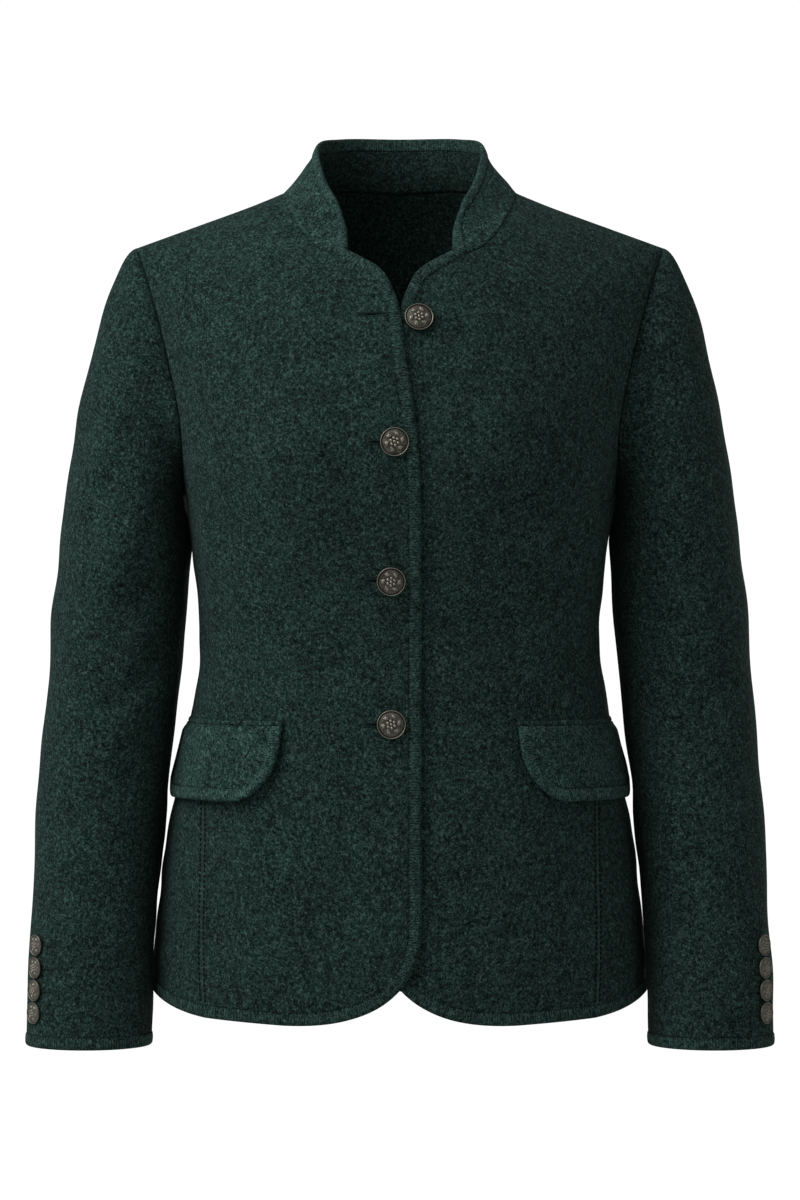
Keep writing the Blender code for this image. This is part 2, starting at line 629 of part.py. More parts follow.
def hem_band(band_cloth):
    """The band round the hem of the side panels and the back, in one piece."""
    front, back = SIDE_SEAM["front"][0], SIDE_SEAM["back"][0]
    side = np.linspace(front, back, SIDE_DIVISIONS + 1)
    rear = np.linspace(back, math.pi, SHOULDER_COLUMNS + BACK_NECK_COLUMNS + 1)[1:]
    girth = np.append(side, rear)
    lines = []
    for distance, lift in band_profile():
        chart = np.stack([girth, hem_level(girth, distance)], axis=1)
        chart[0] = edge_chart(1.0, distance)
        lines.append(mirrored(body(1, chart, lift)))
    strip("hem_band", inset_ends(np.stack(lines, axis=1)), band_cloth)


# --- Sleeves ----------------------------------------------------------------------------------------------------------


def armhole_loop():
    """The armhole's edge on the chart, from the front seam under the arm, up the back, over the tip, down the front."""
    under = np.linspace(math.pi / 2 - armhole_angle(0.0), math.pi / 2 + armhole_angle(0.0), SIDE_DIVISIONS + 1)
    under = np.stack([under, armhole_level(under)], axis=1)
    back = side_line("back", 1)[SEAM_DIVISIONS + 1 :]
    front = side_line("front", -1)[SEAM_DIVISIONS + 1 : -1][::-1]
    return np.concatenate([under, back, front])


LOOP = armhole_loop()
LOOP_MARKS = (0, SIDE_DIVISIONS / 2, SIDE_DIVISIONS, SIDE_DIVISIONS + ARMHOLE_DIVISIONS, len(LOOP))
LOOP_ANGLES = np.radians((CAP_SEAM, 180, 360 - CAP_SEAM, 360, 360 + CAP_SEAM))


def ring(height):
    """The sleeve's round section at this height, with a point for each point of the armhole. Towards the cuff the
    points near the hind seam turn forward, and the seam with them."""
    index = np.arange(len(LOOP))
    angle = np.interp(index, LOOP_MARKS, LOOP_ANGLES)
    down = np.clip((CAP_END - height) / (CAP_END - SLEEVE["height"][0]), 0, 1)
    turned = np.interp(index, (0, HIND_SEAM, len(LOOP)), (0, 1, 0)) * CUFF_TWIST * down**2 * (3 - 2 * down)
    return sleeve_point(angle + turned, height)


def sleeve_point(angle, height):
    """Points of the sleeve's section, and the ways out of it. Angles run from the outermost point to the front."""
    size = {name: smooth(height, SLEEVE["height"], SLEEVE[name]) for name in SLEEVE_COLUMNS[1:]}
    across = size["across"] + size["half_width"] * np.cos(angle)
    depth = size["depth"] - size["half_depth"] * np.sin(angle)
    out = np.stack([np.cos(angle) / size["half_width"], -np.sin(angle) / size["half_depth"], 0 * angle], -1)
    return np.stack([across, depth, np.full_like(across, height)], axis=-1), unit(out)


def sleeve_surface():
    """The sleeve's outer surface: from the armhole over the cap to the first full ring, then rings down to the cuff."""
    edge = body(1, LOOP)
    first, _ = ring(CAP_END)
    angle = np.interp(np.arange(len(LOOP)), LOOP_MARKS, LOOP_ANGLES)
    leaving = np.stack(
        [
            CAP_ACROSS[0] + CAP_ACROSS[1] * np.cos(angle),
            -CAP_BULGE * np.sin(angle),
            CAP_DROP[0] + CAP_DROP[1] * np.cos(angle),
        ],
        axis=1,
    )
    below, _ = ring(CAP_END - 1.0)
    arriving = (below - first) * np.linalg.norm(first - edge, axis=1, keepdims=True)
    edge = edge + unit(leaving) * CAP_GAP
    rows = []
    for t in CAP_STEPS:
        start = (1 + 2 * t) * (1 - t) ** 2 * edge + t * (1 - t) ** 2 * leaving
        rows.append(start + t**2 * (3 - 2 * t) * first - t**2 * (1 - t) * arriving)
    lowest = SLEEVE["height"][0] + BAND_WIDTH + SEAM_GAP
    for height in np.linspace(CAP_END, lowest, SLEEVE_ROWS_DOWN + 1)[1:]:
        rows.append(ring(height)[0])
    return np.array(rows)


def closed_normals(grid):
    """Ways out of a grid whose columns close round."""
    down = np.gradient(grid, axis=0)
    around = np.roll(grid, -1, axis=1) - np.roll(grid, 1, axis=1)
    normals = unit(np.cross(around, down))
    return unit(np.roll(normals, 1, axis=1) + 2 * normals + np.roll(normals, -1, axis=1))


def sleeves(cloth, band_cloth):
    """Both sleeves, each cut in an upper and an under sleeve, with a band round the cuff."""
    outer = sleeve_surface()
    inner = outer - closed_normals(outer) * CLOTH
    pieces = {"under": slice(0, HIND_SEAM + 1), "upper": slice(HIND_SEAM, len(LOOP) + 1)}
    for side, side_name in ((-1, "right"), (1, "left")):
        for piece, columns in pieces.items():
            walls = []
            for wall in (outer, inner):
                closed = np.concatenate([wall, wall[:, :1]], axis=1)
                walls.append(inset(closed[:, columns]) * (side, 1, 1))
            slab(f"{piece}_sleeve_{side_name}", *walls, cloth)
        lines = []
        for distance, lift in band_profile():
            points, out = ring(SLEEVE["height"][0] + distance)
            lines.append((points + out * lift) * (side, 1, 1))
        strip(f"cuff_band_{side_name}", np.stack(lines, axis=1), band_cloth, closed=True)


# --- Pockets ----------------------------------------------------------------------------------------------------------


def pocket_girths():
    """Girths along the top of the pocket, with their distances from its front end."""
    girth = np.linspace(math.radians(15), math.radians(130), EDGE_SAMPLES)
    level = (FLAP_TOP - CHEST) / (CHEST - hem(girth))
    points = skin(girth, level)
    along = lengths(points)
    return girth, along - np.interp(FLAP_FRONT, points[: EDGE_SAMPLES // 2, 0], along[: EDGE_SAMPLES // 2])


POCKET_GIRTHS, POCKET_ALONG = pocket_girths()


def pocket_chart(along, below):
    """The chart's place of points this far from the pocket's front end and below its top."""
    girth = np.interp(along, POCKET_ALONG, POCKET_GIRTHS)
    return np.stack([girth, (FLAP_TOP - below - CHEST) / (CHEST - hem(girth))], axis=-1)


def flap_line(distance):
    """The flap's free edge as (along, below), from its front end round both corners, this far into the cloth."""
    turn = np.linspace(0, math.pi / 2, FLAP_TURNS + 1)
    wide, high = FLAP_CORNER_WIDTH - distance, FLAP_CORNER_HEIGHT - distance
    front = FLAP_CORNER_WIDTH - wide * np.cos(turn)
    below = FLAP_HEIGHT - FLAP_CORNER_HEIGHT + high * np.sin(turn)
    middle = np.linspace(front[-1], FLAP_LENGTH - front[-1], FLAP_MIDDLES + 1)[1:-1]
    along = np.concatenate([front, middle, FLAP_LENGTH - front[::-1]])
    return np.stack([along, np.concatenate([below, np.full(len(middle), below[-1]), below[::-1]])], axis=1)


def flap_lift(below):
    """The flap stands further off the front the lower it gets."""
    return FLAP_GAP + FLAP_FLARE * (np.clip(below, 0, None) / FLAP_HEIGHT) ** 2


def flaps(cloth, band_cloth):
    """Each pocket's flap with the band round its free edge, and the welt above it."""
    line = flap_line(BAND_WIDTH + SEAM_GAP)
    share = np.linspace(0, 1, FLAP_ROWS + 1)[:, None]
    along, below = np.broadcast_arrays(line[:, 0], share * line[:, 1])
    welt_along = np.linspace(0, FLAP_LENGTH, WELT_COLUMNS + 1)
    welt_along, welt_below = np.broadcast_arrays(welt_along, np.array([[0], [-WELT_HEIGHT]]) - SEAM_GAP)
    for side, name in ((-1, "right"), (1, "left")):
        chart = pocket_chart(along, below)
        lift = flap_lift(below)
        slab(f"pocket_flap_{name}", body(side, chart, lift + CLOTH), body(side, chart, lift), cloth)
        lines = []
        for distance, rise in band_profile():
            edge = flap_line(distance)
            edge = np.concatenate([[(edge[0][0], 0)], edge, [(edge[-1][0], 0)]])
            lift = flap_lift(edge[:, 1]) + CLOTH + rise + BAND_RISE
            lines.append(body(side, pocket_chart(edge[:, 0], edge[:, 1]), lift))
        strip(f"flap_band_{name}", np.stack(lines, axis=1), band_cloth)
        chart = pocket_chart(welt_along, welt_below)
        low = np.full(welt_along.shape, WELT_GAP)
        slab(f"pocket_welt_{name}", body(side, chart, low + WELT_THICKNESS), body(side, chart, low), band_cloth)


# --- Buttons ----------------------------------------------------------------------------------------------------------


def button_mesh(name, diameter, stem, steps, metal):
    """A domed button with a raised rim, turned round +Z, on a thin stem that reaches down to the cloth."""
    radius = diameter / 2
    profile = [(0, -stem), (STEM_RADIUS, -stem), (STEM_RADIUS, 0)]
    profile += [(radius * share, diameter * height) for share, height in BUTTON_PROFILE]
    shape = bmesh.new()
    points = [shape.verts.new((across * MM, 0, up * MM)) for across, up in profile]
    edges = [shape.edges.new(pair) for pair in zip(points, points[1:])]
    bmesh.ops.spin(
        shape, geom=points + edges, cent=(0, 0, 0), axis=(0, 0, 1), angle=2 * math.pi, steps=steps, use_merge=True
    )
    bmesh.ops.remove_doubles(shape, verts=shape.verts, dist=MERGE_DISTANCE)
    bmesh.ops.recalc_face_normals(shape, faces=shape.faces)
    mesh = bpy.data.meshes.new(name)
    shape.to_mesh(mesh)
    shape.free()
    mesh.shade_smooth()
    mesh.materials.append(metal)
    return mesh


def place_button(name, mesh, point, out, height_over):
    """Puts a button over this point of the cloth, facing out."""
    button = bpy.data.objects.new(name, mesh)
    bpy.context.scene.collection.objects.link(button)
    out = Vector(out)
    button.location = (Vector(point) + out * height_over) * MM
    button.rotation_euler = Vector((0, 0, 1)).rotation_difference(out).to_euler()


def surface_frame(side, across, height, lap):
    """The point of a front at this place seen from the front, and the way out there."""
    chart = from_front(np.array(across * side), np.array(height))
    point = body(side, chart, 0, lap)
    return point, unit(body(side, chart, 1.0, lap) - point)


def front_buttons(metal):
    """Three fastened buttons, whose stems pass through their buttonholes, and the undone one on the under front."""
    through = button_mesh("fastened_button", FRONT_BUTTON, 2 * LAP - BAND_RISE + BUTTON_GAP - SEAM_GAP, BUTTON_STEPS, metal)
    for number, (across, height) in enumerate(FASTENED_BUTTONS, start=2):
        point, out = surface_frame(-1, across, height, LAP)
        place_button(f"front_button_{number}", through, point, out, BUTTON_GAP)
    alone = button_mesh("undone_button", FRONT_BUTTON, STEM_LENGTH, BUTTON_STEPS, metal)
    point, out = surface_frame(1, *UNDONE_BUTTON, -LAP)
    place_button("front_button_1", alone, point, out, SEAM_GAP + STEM_LENGTH)


def cuff_buttons(metal):
    """Four small buttons in a row above each cuff, edge to edge."""
    mesh = button_mesh("cuff_button", CUFF_BUTTON, CUFF_STEM, CUFF_BUTTON_STEPS, metal)
    for side, name in ((-1, "right"), (1, "left")):
        for number in range(CUFF_BUTTON_COUNT):
            height = CUFF_BUTTON_LOWEST + CUFF_BUTTON_PITCH * number
            point, out = sleeve_point(np.array(CUFF_BUTTON_ANGLE), height)
            mirror = (side, 1, 1)
            place_button(f"cuff_button_{name}_{number + 1}", mesh, point * mirror, out * mirror, SEAM_GAP + CUFF_STEM)


def main():
    for old in list(bpy.data.objects):
        bpy.data.objects.remove(old, do_unlink=True)
    cloth = material("loden", CLOTH_COLOUR, 0.95)
    band_cloth = material("loden_band", BAND_COLOUR, 0.95)
    metal = material("old_silver", METAL_COLOUR, 0.4, 1.0)
    buttonholes(fronts(cloth))
    side_panels(cloth)
    back_panel(cloth)
    stand_collar(cloth, band_cloth)
    front_bands(band_cloth)
    hem_band(band_cloth)
    sleeves(cloth, band_cloth)
    flaps(cloth, band_cloth)
    front_buttons(metal)
    cuff_buttons(metal)


if __name__ == "__main__":
    main()
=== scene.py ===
"""The looks of a women's tyrolean jacket of boiled wool: its cloth with folds and seams, the hatched bands
along its edges, the bound buttonholes and the embossed buttons, and a pale studio to show them in.

The script is laid out as an add-on and is run as a script. Points are worked out in millimetres and every
mesh is made in metres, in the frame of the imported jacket: Z is up, the wearer faces -Y and the wearer's
left is +X.

The body's outer surface is one function of a chart (girth, level). Girth is an angle round one side of the
body: 0 at the centre front, 90 degrees at the side and 180 at the centre back. Level runs from -1 at the
hem over 0 at the chest to 1 on the shoulder ridge. Every piece of the body is a stretch of this chart.
"""

import math

import bpy
import numpy as np
from bpy.props import FloatProperty, FloatVectorProperty, IntProperty, PointerProperty
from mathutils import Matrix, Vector


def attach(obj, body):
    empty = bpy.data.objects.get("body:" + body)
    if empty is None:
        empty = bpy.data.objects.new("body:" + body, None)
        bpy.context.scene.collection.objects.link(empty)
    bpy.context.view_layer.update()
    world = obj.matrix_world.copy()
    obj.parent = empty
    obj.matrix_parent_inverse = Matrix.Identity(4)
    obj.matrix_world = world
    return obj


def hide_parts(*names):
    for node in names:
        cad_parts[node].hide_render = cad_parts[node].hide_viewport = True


bl_info = {
    "name": "Tyrolean loden jacket",
    "version": (1, 0, 0),
    "blender": (4, 5, 0),
    "location": "3D View > Sidebar > Jacket",
    "description": "Makes the cloth, bands, buttonholes and buttons of a tyrolean jacket of boiled wool",
    "category": "Object",
}

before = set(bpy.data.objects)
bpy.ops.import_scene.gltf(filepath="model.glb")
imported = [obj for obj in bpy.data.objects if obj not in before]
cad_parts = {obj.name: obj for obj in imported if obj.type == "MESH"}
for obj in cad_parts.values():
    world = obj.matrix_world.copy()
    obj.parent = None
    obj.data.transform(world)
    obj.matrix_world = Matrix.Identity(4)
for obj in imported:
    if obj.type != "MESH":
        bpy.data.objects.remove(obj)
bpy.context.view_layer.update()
BODY = "root"
MM = 0.001

# --- Sizes that the cut of the jacket gives, in millimetres ---

# The cloth, the band folded over its edge, and how far the panel goes under the band, where its faces are
# thinner. Near the centre front one front laps over the other.
CLOTH, SEAM_GAP = 2.2, 0.03
BAND_WIDTH, BAND_RISE, BAND_CLOTH, BAND_CROWN, STRIP_WIDTH = 8.5, 0.5, 0.9, 0.4, 20.5
TUCK = 1.4
INWARDS = BAND_WIDTH - TUCK
TONGUE_DEPTH, TONGUE_CLEAR = BAND_CLOTH - BAND_RISE + 0.22, (TUCK + 0.1, 0.45)
LAP, LAP_NEAR, LAP_FAR = 2.0, 13.0, 36.0

# Sections of the body from the hem up to the chest.
TORSO_COLUMNS = ("height", "half_width", "front_depth", "back_depth")
TORSO_ROWS = (
    (-590, 180, 130, 127),  # hem
    (-520, 175, 125, 121),  # low hip
    (-460, 167, 119, 114),  # hip
    (-420, 160, 115, 108),  # pocket
    (-376, 151, 111, 101),  # top of the pocket
    (-325, 144, 108, 95),  # waist
    (-263, 148, 117, 100),  # ribs
    (-215, 154, 126, 106),  # underarm
    (-190, 158, 128, 108),  # chest
)
FULLNESS = 2.3
CHEST = -190.0
HEM_FRONT, HEM_BACK, HEM_SIDE, HEM_SWEEP = -582.0, -586.0, -566.0, 6
BUST_RISE, BUST_ACROSS, BUST_HEIGHT = 6.0, 80.0, -188.0
BUST_SPREAD, BUST_FALL = 45.0, 55.0

# The shoulders: the half width grows with the rise over the chest, and the depth closes towards the ridge.
SPREAD, SPREAD_CURVE = 28.0, 12.0
LEVEL_POWER = 1.6
FRONT_CLOSING, BACK_CLOSING = (1.6, 0.625), (2.8, 0.5)
TIP_ACROSS, TIP_HEIGHT, SHOULDER_SLOPE = 189.0, -36.5, 0.36
NECK_RISE, NECK_REACH, NAPE_RISE, NAPE_END = 15.0, 120.0, 14.5, 6

# The armhole on the chart: half its angle, the level of its lowest point, and where its sides become straight.
ARMHOLE_HALF, ARMHOLE_FULLNESS = math.radians(18), 2.2
ARMHOLE_BOTTOM, ARMHOLE_STRAIGHT = -0.058, 0.165

# The seams between the side panel and the front and back, as degrees of girth. They end at the armhole.
SIDE_SEAM_COLUMNS = ("level", "front", "back")
SIDE_SEAM_ROWS = (
    (-1.0, 46.7, 131),  # hem
    (-0.62, 56.3, 122),  # pocket
    (-0.47, 65, 116),
    (-0.345, 71.5, 111),  # waist
    (-0.19, 72.5, 107),  # ribs
    (0.0, 77.05, 102.95),  # armhole
)

# The neckline in plan, and the front's edge as distances across and down from the notch where it meets the
# collar.
NECK_ACROSS, NECK_BACK, NECK_FRONT, NOTCH_ACROSS = 84.0, 66.0, 79.0, 37.0
LAPEL_ROWS = ((0, 0), (9, 5), (24, 15), (34, 34), (41, 76), (47, 115), (51, 160), (52, 210))
CORNER_WIDTH, CORNER_HEIGHT, CORNER_FULLNESS = 95.0, 73.0, 2.5
NOTCH_BLEND, LAPEL_TURN = 16.0, 36.0

# The collar: its free edge from the front end to the centre back, and its nominal size laid flat.
COLLAR_COLUMNS = ("along", "across", "depth", "height")
COLLAR_ROWS = (
    (0.0, 41, -57, -14),  # front end
    (0.25, 54, -32, 10),
    (0.5, 59.5, 5, 38.5),  # above the neck point
    (0.75, 43, 44, 47.5),
    (1.0, 0, 59, 49),  # centre back
    (1.25, -43, 44, 47.5),  # the other side, so that the curve runs level through the centre back
)
COLLAR_HEIGHT, COLLAR_LENGTH, COLLAR_CORNER, COLLAR_BOW, COLLAR_MITRE = 37.0, 200.0, 20.0, 3.0, 0.7

# Sections of the sleeve from the cuff up: its middle and its half size, across and front to back.
SLEEVE_COLUMNS = ("height", "across", "half_width", "depth", "half_depth")
SLEEVE_ROWS = (
    (-603, 219.3, 44.0, -52, 38),  # cuff
    (-570, 218.7, 44.5, -46, 39),
    (-504, 217, 45, -29, 43),
    (-430, 213, 46.5, -12, 49),  # forearm
    (-375, 208.3, 47, -3, 53),  # elbow
    (-290, 200.5, 47.9, 4, 57),
    (-250, 198, 47, 6, 59),  # below the armhole
)
CAP_END = -250.0
CAP_ACROSS, CAP_BULGE, CAP_DROP, CAP_GAP = (41, 27), 22.0, (-8, -9), 0.03
CAP_SEAM, CUFF_TWIST = 160.0, math.radians(70)

# The pockets: a flap with rounded lower corners under a narrow welt. The flap curls in behind the side seam.
FLAP_TOP, FLAP_FRONT, FLAP_LENGTH, FLAP_HEIGHT = -377.5, 81.0, 134.0, 53.0
FLAP_CORNER_WIDTH, FLAP_CORNER_HEIGHT = 30.0, 38.0
FLAP_GAP, FLAP_FLARE, FLAP_LEAN, FLAP_LEAN_REACH = 0.7, 1.6, 2.2, 90.0
FLAP_CURL, FLAP_HIND, FLAP_LOW = 1.5, (70, 30), (0.72, 0.28)  # its depth, and where along and down it sets in
FLAP_THIN, FLAP_THIN_REACH = 0.55, 7.0  # under the welt, and how far down
WELT_HEIGHT, WELT_THICKNESS = 4.0, 1.0

# The buttons and their slits: places are distance across and height, seen from the front.
UNDONE_BUTTON = (12.7, -96.4)
FASTENED_BUTTONS = ((-3.7, -182.2), (-6.0, -277.0), (-5.9, -375.8))
STEM_LENGTH, CUFF_STEM, BUTTON_GAP = 2.6, 0.8, 0.6
UNDONE_TWIST, FASTENED_TWISTS = 0.12, (0.2, -0.1, 0.15)
TOP_HOLE, HOLE_SHIFT = (-19.0, -93.0), 8.0
HOLE_LENGTH, HOLE_HALF_WIDTH, HOLE_DEPTH = 21.0, 0.75, 12.0
EMPTY_HOLE_CLOSING = 2.4  # the power that draws the empty slit together at its ends
SLIT_CORNERS, HOLE_STITCHES, BAR_STITCHES = 24, 56, 14
STITCHED_OVAL = ((HOLE_LENGTH / 2 + 0.3) * 0.985, 1.25)  # half its length and half its height
HOLE_STITCH, BAR_STITCH, STITCH_LIFT = (1.5, 0.55), (1.6, 0.6), 0.1  # length and thickness of a stitch
BAR_ANGLES = (0.17, 0.40)  # from the cuff button to its bar's ends, in radians round the sleeve
CUFF_BUTTON_ANGLE = math.radians(35)
CUFF_BUTTON_LOWEST, CUFF_BUTTON_PITCH, CUFF_BUTTON_COUNT = -579.0, 15.5, 4

# Cuts laid flat, with the area where the cut isn't a rectangle.
FRONT_CUT, FRONT_AREA = (262, 662), 101000
SIDE_CUT, SIDE_AREA = (170, 415), 46500
BACK_CUT, BACK_AREA = (440, 640), 207000
COLLAR_CUT = (395, 33)
UPPER_SLEEVE_CUT, UPPER_SLEEVE_AREA = (240, 615), 88500
UNDER_SLEEVE_CUT, UNDER_SLEEVE_AREA = (165, 480), 59500
FLAP_CUT, FLAP_AREA = (120, 48), 5450
WELT_CUT, WELT_AREA = (134, 10), 134 * 5.4

# Counts of the divisions that the pieces' charts share, each cut finer here, and where closer ones lie.
EDGE_SAMPLES, NECK_ROUNDS, TINY = 120, 40, 1e-6
SEAM_DIVISIONS, ARMHOLE_DIVISIONS, SIDE_DIVISIONS = 11, 7, 6
COLUMN_ENDS, ROW_ENDS = (0.045, 0.104, 0.135, 0.17), (0.02, 0.042, 0.054, 0.07)
LAPEL_COLUMNS, FRONT_NECK_COLUMNS, BACK_NECK_COLUMNS, SHOULDER_COLUMNS, COLLAR_TURNS = 2, 6, 5, 5, 4
HIND_SEAM, SLEEVE_ROWS_DOWN = 10, 7
FLAP_TURNS, FLAP_MIDDLES = 3, 5
CAP_ROWS = np.append([0, 0.01, 0.02, 0.032], np.linspace(0.05, 1, 34))
CUFF_ROWS = (0.9895, 0.9935, 0.9945, 0.9956, 0.998, 1)
FLAP_ENDS = (0, 0.02, 0.04), (0.925, 0.945, 0.957, 0.966, 0.985, 1)
FLAP_ROWS = np.concatenate([FLAP_ENDS[0], np.linspace(0.07, 0.90, 14), FLAP_ENDS[1]])

# --- The cloth's folds, placed one by one ---

# Each fold runs on the body from one place to another. A row holds the girth in degrees and the height
# where it starts and where it ends, how far its middle bows sideways, its width, and its depth, which is
# positive for a ridge. The two sides have their own.
DEGREE = 2.5  # millimetres of cloth to a degree of girth, round about
RIGHT_FOLDS = (
    (87, -160, 86, -245, 0, 28, 0.7),  # fullness under the arm
    (62, -205, 65, -312, 2, 12, 1.7),  # long soft ridge beside the waist
    (70, -215, 44, -262, 4, 13, -2.0),  # from the armhole down to the front, under the bust
    (74, -240, 46, -300, -3, 16, 1.6),
    (72, -262, 50, -330, 5, 15, -1.6),
    (80, -300, 60, -372, -4, 17, 1.4),
    (66, -120, 56, -176, 6, 12, -1.8),  # by the armhole, over the bust
    (60, -96, 48, -150, -5, 14, 1.2),
    (30, -226, 12, -250, 3, 16, -1.0),  # between bust and the second button
    (34, -290, 10, -281, -3, 15, -0.9),  # drawn to the third button
    (30, -330, 9, -290, 4, 14, 0.8),
    (36, -372, 12, -378, 3, 15, -0.8),  # drawn to the lowest button
    (58, -440, 40, -560, 6, 22, -1.8),  # soft flutes of the skirt
    (30, -455, 26, -575, -5, 24, 1.6),
    (88, -330, 104, -352, -4, 14, -1.6),  # waist, at the side
    (90, -372, 108, -362, 3, 15, 1.2),
    (112, -205, 138, -262, 5, 16, -1.8),  # on the back, from the armhole to the waist
    (108, -250, 140, -306, -4, 18, 1.5),
    (116, -318, 150, -338, 3, 16, -1.6),
    (122, -352, 160, -358, -3, 18, 1.2),
    (120, -104, 132, -170, -5, 14, -1.4),
    (128, -430, 134, -565, 6, 24, -1.8),
    (160, -440, 156, -570, -5, 26, 1.5),
    (172, -300, 168, -345, 3, 15, -1.0),
    (91, -434, 91, -466, 0, 24, 0.7),  # the hip rounds out to the sleeve, which presses it in lower down
    (91, -490, 91, -542, 0, 26, -0.8),
)
LEFT_FOLDS = (
    (87, -160, 86, -240, 0, 28, 0.7),
    (61, -215, 66, -305, -2, 12, 1.2),
    (71, -210, 47, -250, -4, 12, -1.9),
    (75, -236, 49, -286, 4, 15, 1.5),
    (72, -270, 44, -338, -4, 16, -1.5),
    (78, -318, 62, -380, 4, 16, 1.2),
    (64, -116, 55, -168, 5, 11, -1.6),
    (58, -92, 46, -140, -4, 14, 1.0),
    (26, -140, 20, -215, 4, 18, 0.9),
    (30, -236, 10, -262, -3, 14, -0.8),
    (33, -306, 8, -318, 3, 15, -0.8),
    (54, -448, 46, -566, -5, 22, -1.6),
    (28, -440, 22, -570, 5, 25, 1.4),
    (92, -322, 106, -346, 4, 13, -1.5),
    (90, -366, 110, -356, -3, 15, 1.1),
    (110, -212, 136, -254, -5, 15, -1.7),
    (110, -246, 144, -298, 4, 18, 1.4),
    (118, -326, 152, -330, -3, 15, -1.5),
    (120, -348, 158, -366, 3, 18, 1.1),
    (122, -110, 134, -162, 5, 13, -1.3),
    (130, -436, 128, -562, -6, 23, -1.7),
    (156, -430, 160, -568, 5, 25, 1.4),
    (170, -290, 173, -352, -3, 16, -0.9),
    (91, -432, 91, -478, 0, 24, 1.2),
    (91, -494, 91, -546, 0, 26, -0.6),
)

# The same on a sleeve, with degrees round its section: 0 is outermost and 90 is at the front.
SLEEVE_DEGREE = 0.85
RIGHT_SLEEVE_FOLDS = (
    (172, -170, 172, -240, 0, 18, 0.3),  # fullness under the arm
    (96, -176, 48, -250, 5, 11, -2.2),  # from the armhole out over the upper arm
    (118, -206, 70, -296, -4, 13, 1.8),
    (62, -150, 20, -214, 4, 13, -1.6),
    (140, -262, 84, -352, 5, 14, -2.0),  # inner bend of the elbow
    (150, -318, 66, -386, -4, 12, -2.2),
    (146, -352, 74, -410, 4, 13, 1.8),
    (138, -404, 76, -430, -3, 13, -1.8),
    (120, -452, 30, -492, 4, 16, 1.2),
    (60, -470, 10, -540, -4, 18, -1.2),
    (-30, -300, -96, -360, 4, 16, -1.6),  # hind side
    (-40, -372, -110, -396, -4, 14, -1.8),
    (-60, -420, -130, -452, 4, 16, 1.3),
    (-50, -170, -110, -240, 5, 14, -1.8),
    (20, -262, -22, -338, -5, 20, 1.2),
    (180, -432, 180, -464, 0, 18, 0.8),  # beside the hip, and where it is pressed in
    (180, -490, 180, -542, 0, 22, -1.3),
)
LEFT_SLEEVE_FOLDS = (
    (172, -170, 172, -240, 0, 18, 0.3),
    (92, -170, 46, -240, -5, 11, -2.0),
    (116, -200, 66, -284, 4, 13, 1.7),
    (60, -146, 16, -222, -4, 14, -1.5),
    (142, -270, 80, -346, -5, 13, -1.9),
    (150, -326, 70, -376, 4, 12, -2.1),
    (144, -360, 70, -420, -4, 14, 1.7),
    (136, -412, 80, -446, 3, 13, -1.7),
    (110, -462, 34, -508, -4, 17, 1.2),
    (56, -480, 14, -556, 4, 17, -1.1),
    (-34, -296, -100, -350, -4, 15, -1.6),
    (-42, -366, -108, -404, 4, 14, -1.7),
    (-56, -428, -128, -446, -4, 16, 1.2),
    (-54, -164, -108, -232, -5, 14, -1.7),
    (24, -268, -18, -330, 5, 19, 1.1),
    (180, -430, 180, -476, 0, 20, 1.3),
    (180, -494, 180, -546, 0, 22, -1.0),
)

# How the relief runs out: (where it is nothing, over how many millimetres it comes up) from a seam, from
# the front's edge, from the shoulder and from the cuff; the share of it that is left at the centre front;
# and the share of the girth over which the two halves of the back blend into each other.
SEAM_CLEAR, EDGE_CLEAR, COLLAR_CLEAR = (1, 14), (5, 55), (1, 10)
SHOULDER_CLEAR, CUFF_CLEAR, RIDGE_CLEAR = (14, -70), (-596, 40), (0, 0.12)
FREE_LEVEL, FREE_POWER = -0.4, 8  # the level where folds hang free, and how suddenly they end a level away
EDGE_RELIEF, CENTRE_BLEND = 0.25, 0.12
WAVE_COUNT, WAVE_LENGTHS = 14, (30, 110)
BODY_WAVES, COLLAR_WAVES, SLEEVE_WAVES, FLAP_WAVES = 5, 8, 12, 21  # seeds
# A seam's groove: its half width, how far beside it the cloth stands proud, over what width and how much;
# and how deep the seams are at the shoulder, the side and the elbow, as a share of the armhole's.
GROOVE, PROUD_AT, PROUD_WIDTH, PROUD = 1.4, 5, 3, 0.28
SOFT_SEAM, DEEP_FROM, DEEP_TO = 0.12, (-0.12, 0.08), (0.86, 0.10)
STITCH_WAVES = (3.1, 7.7)  # lengths of the groove's unevenness along the seam
STITCHED_BELOW = -0.52  # the level from which the front's seam is pricked, down to the hem
# The painted shade between arm and body: the height where it starts, over how much it sets in, and how far it
# reaches.
SHADE_TOP, SHADE_FADE, BODY_SHADE, SLEEVE_SHADE = -225, 85, 9, 19

# --- What a user would change ---


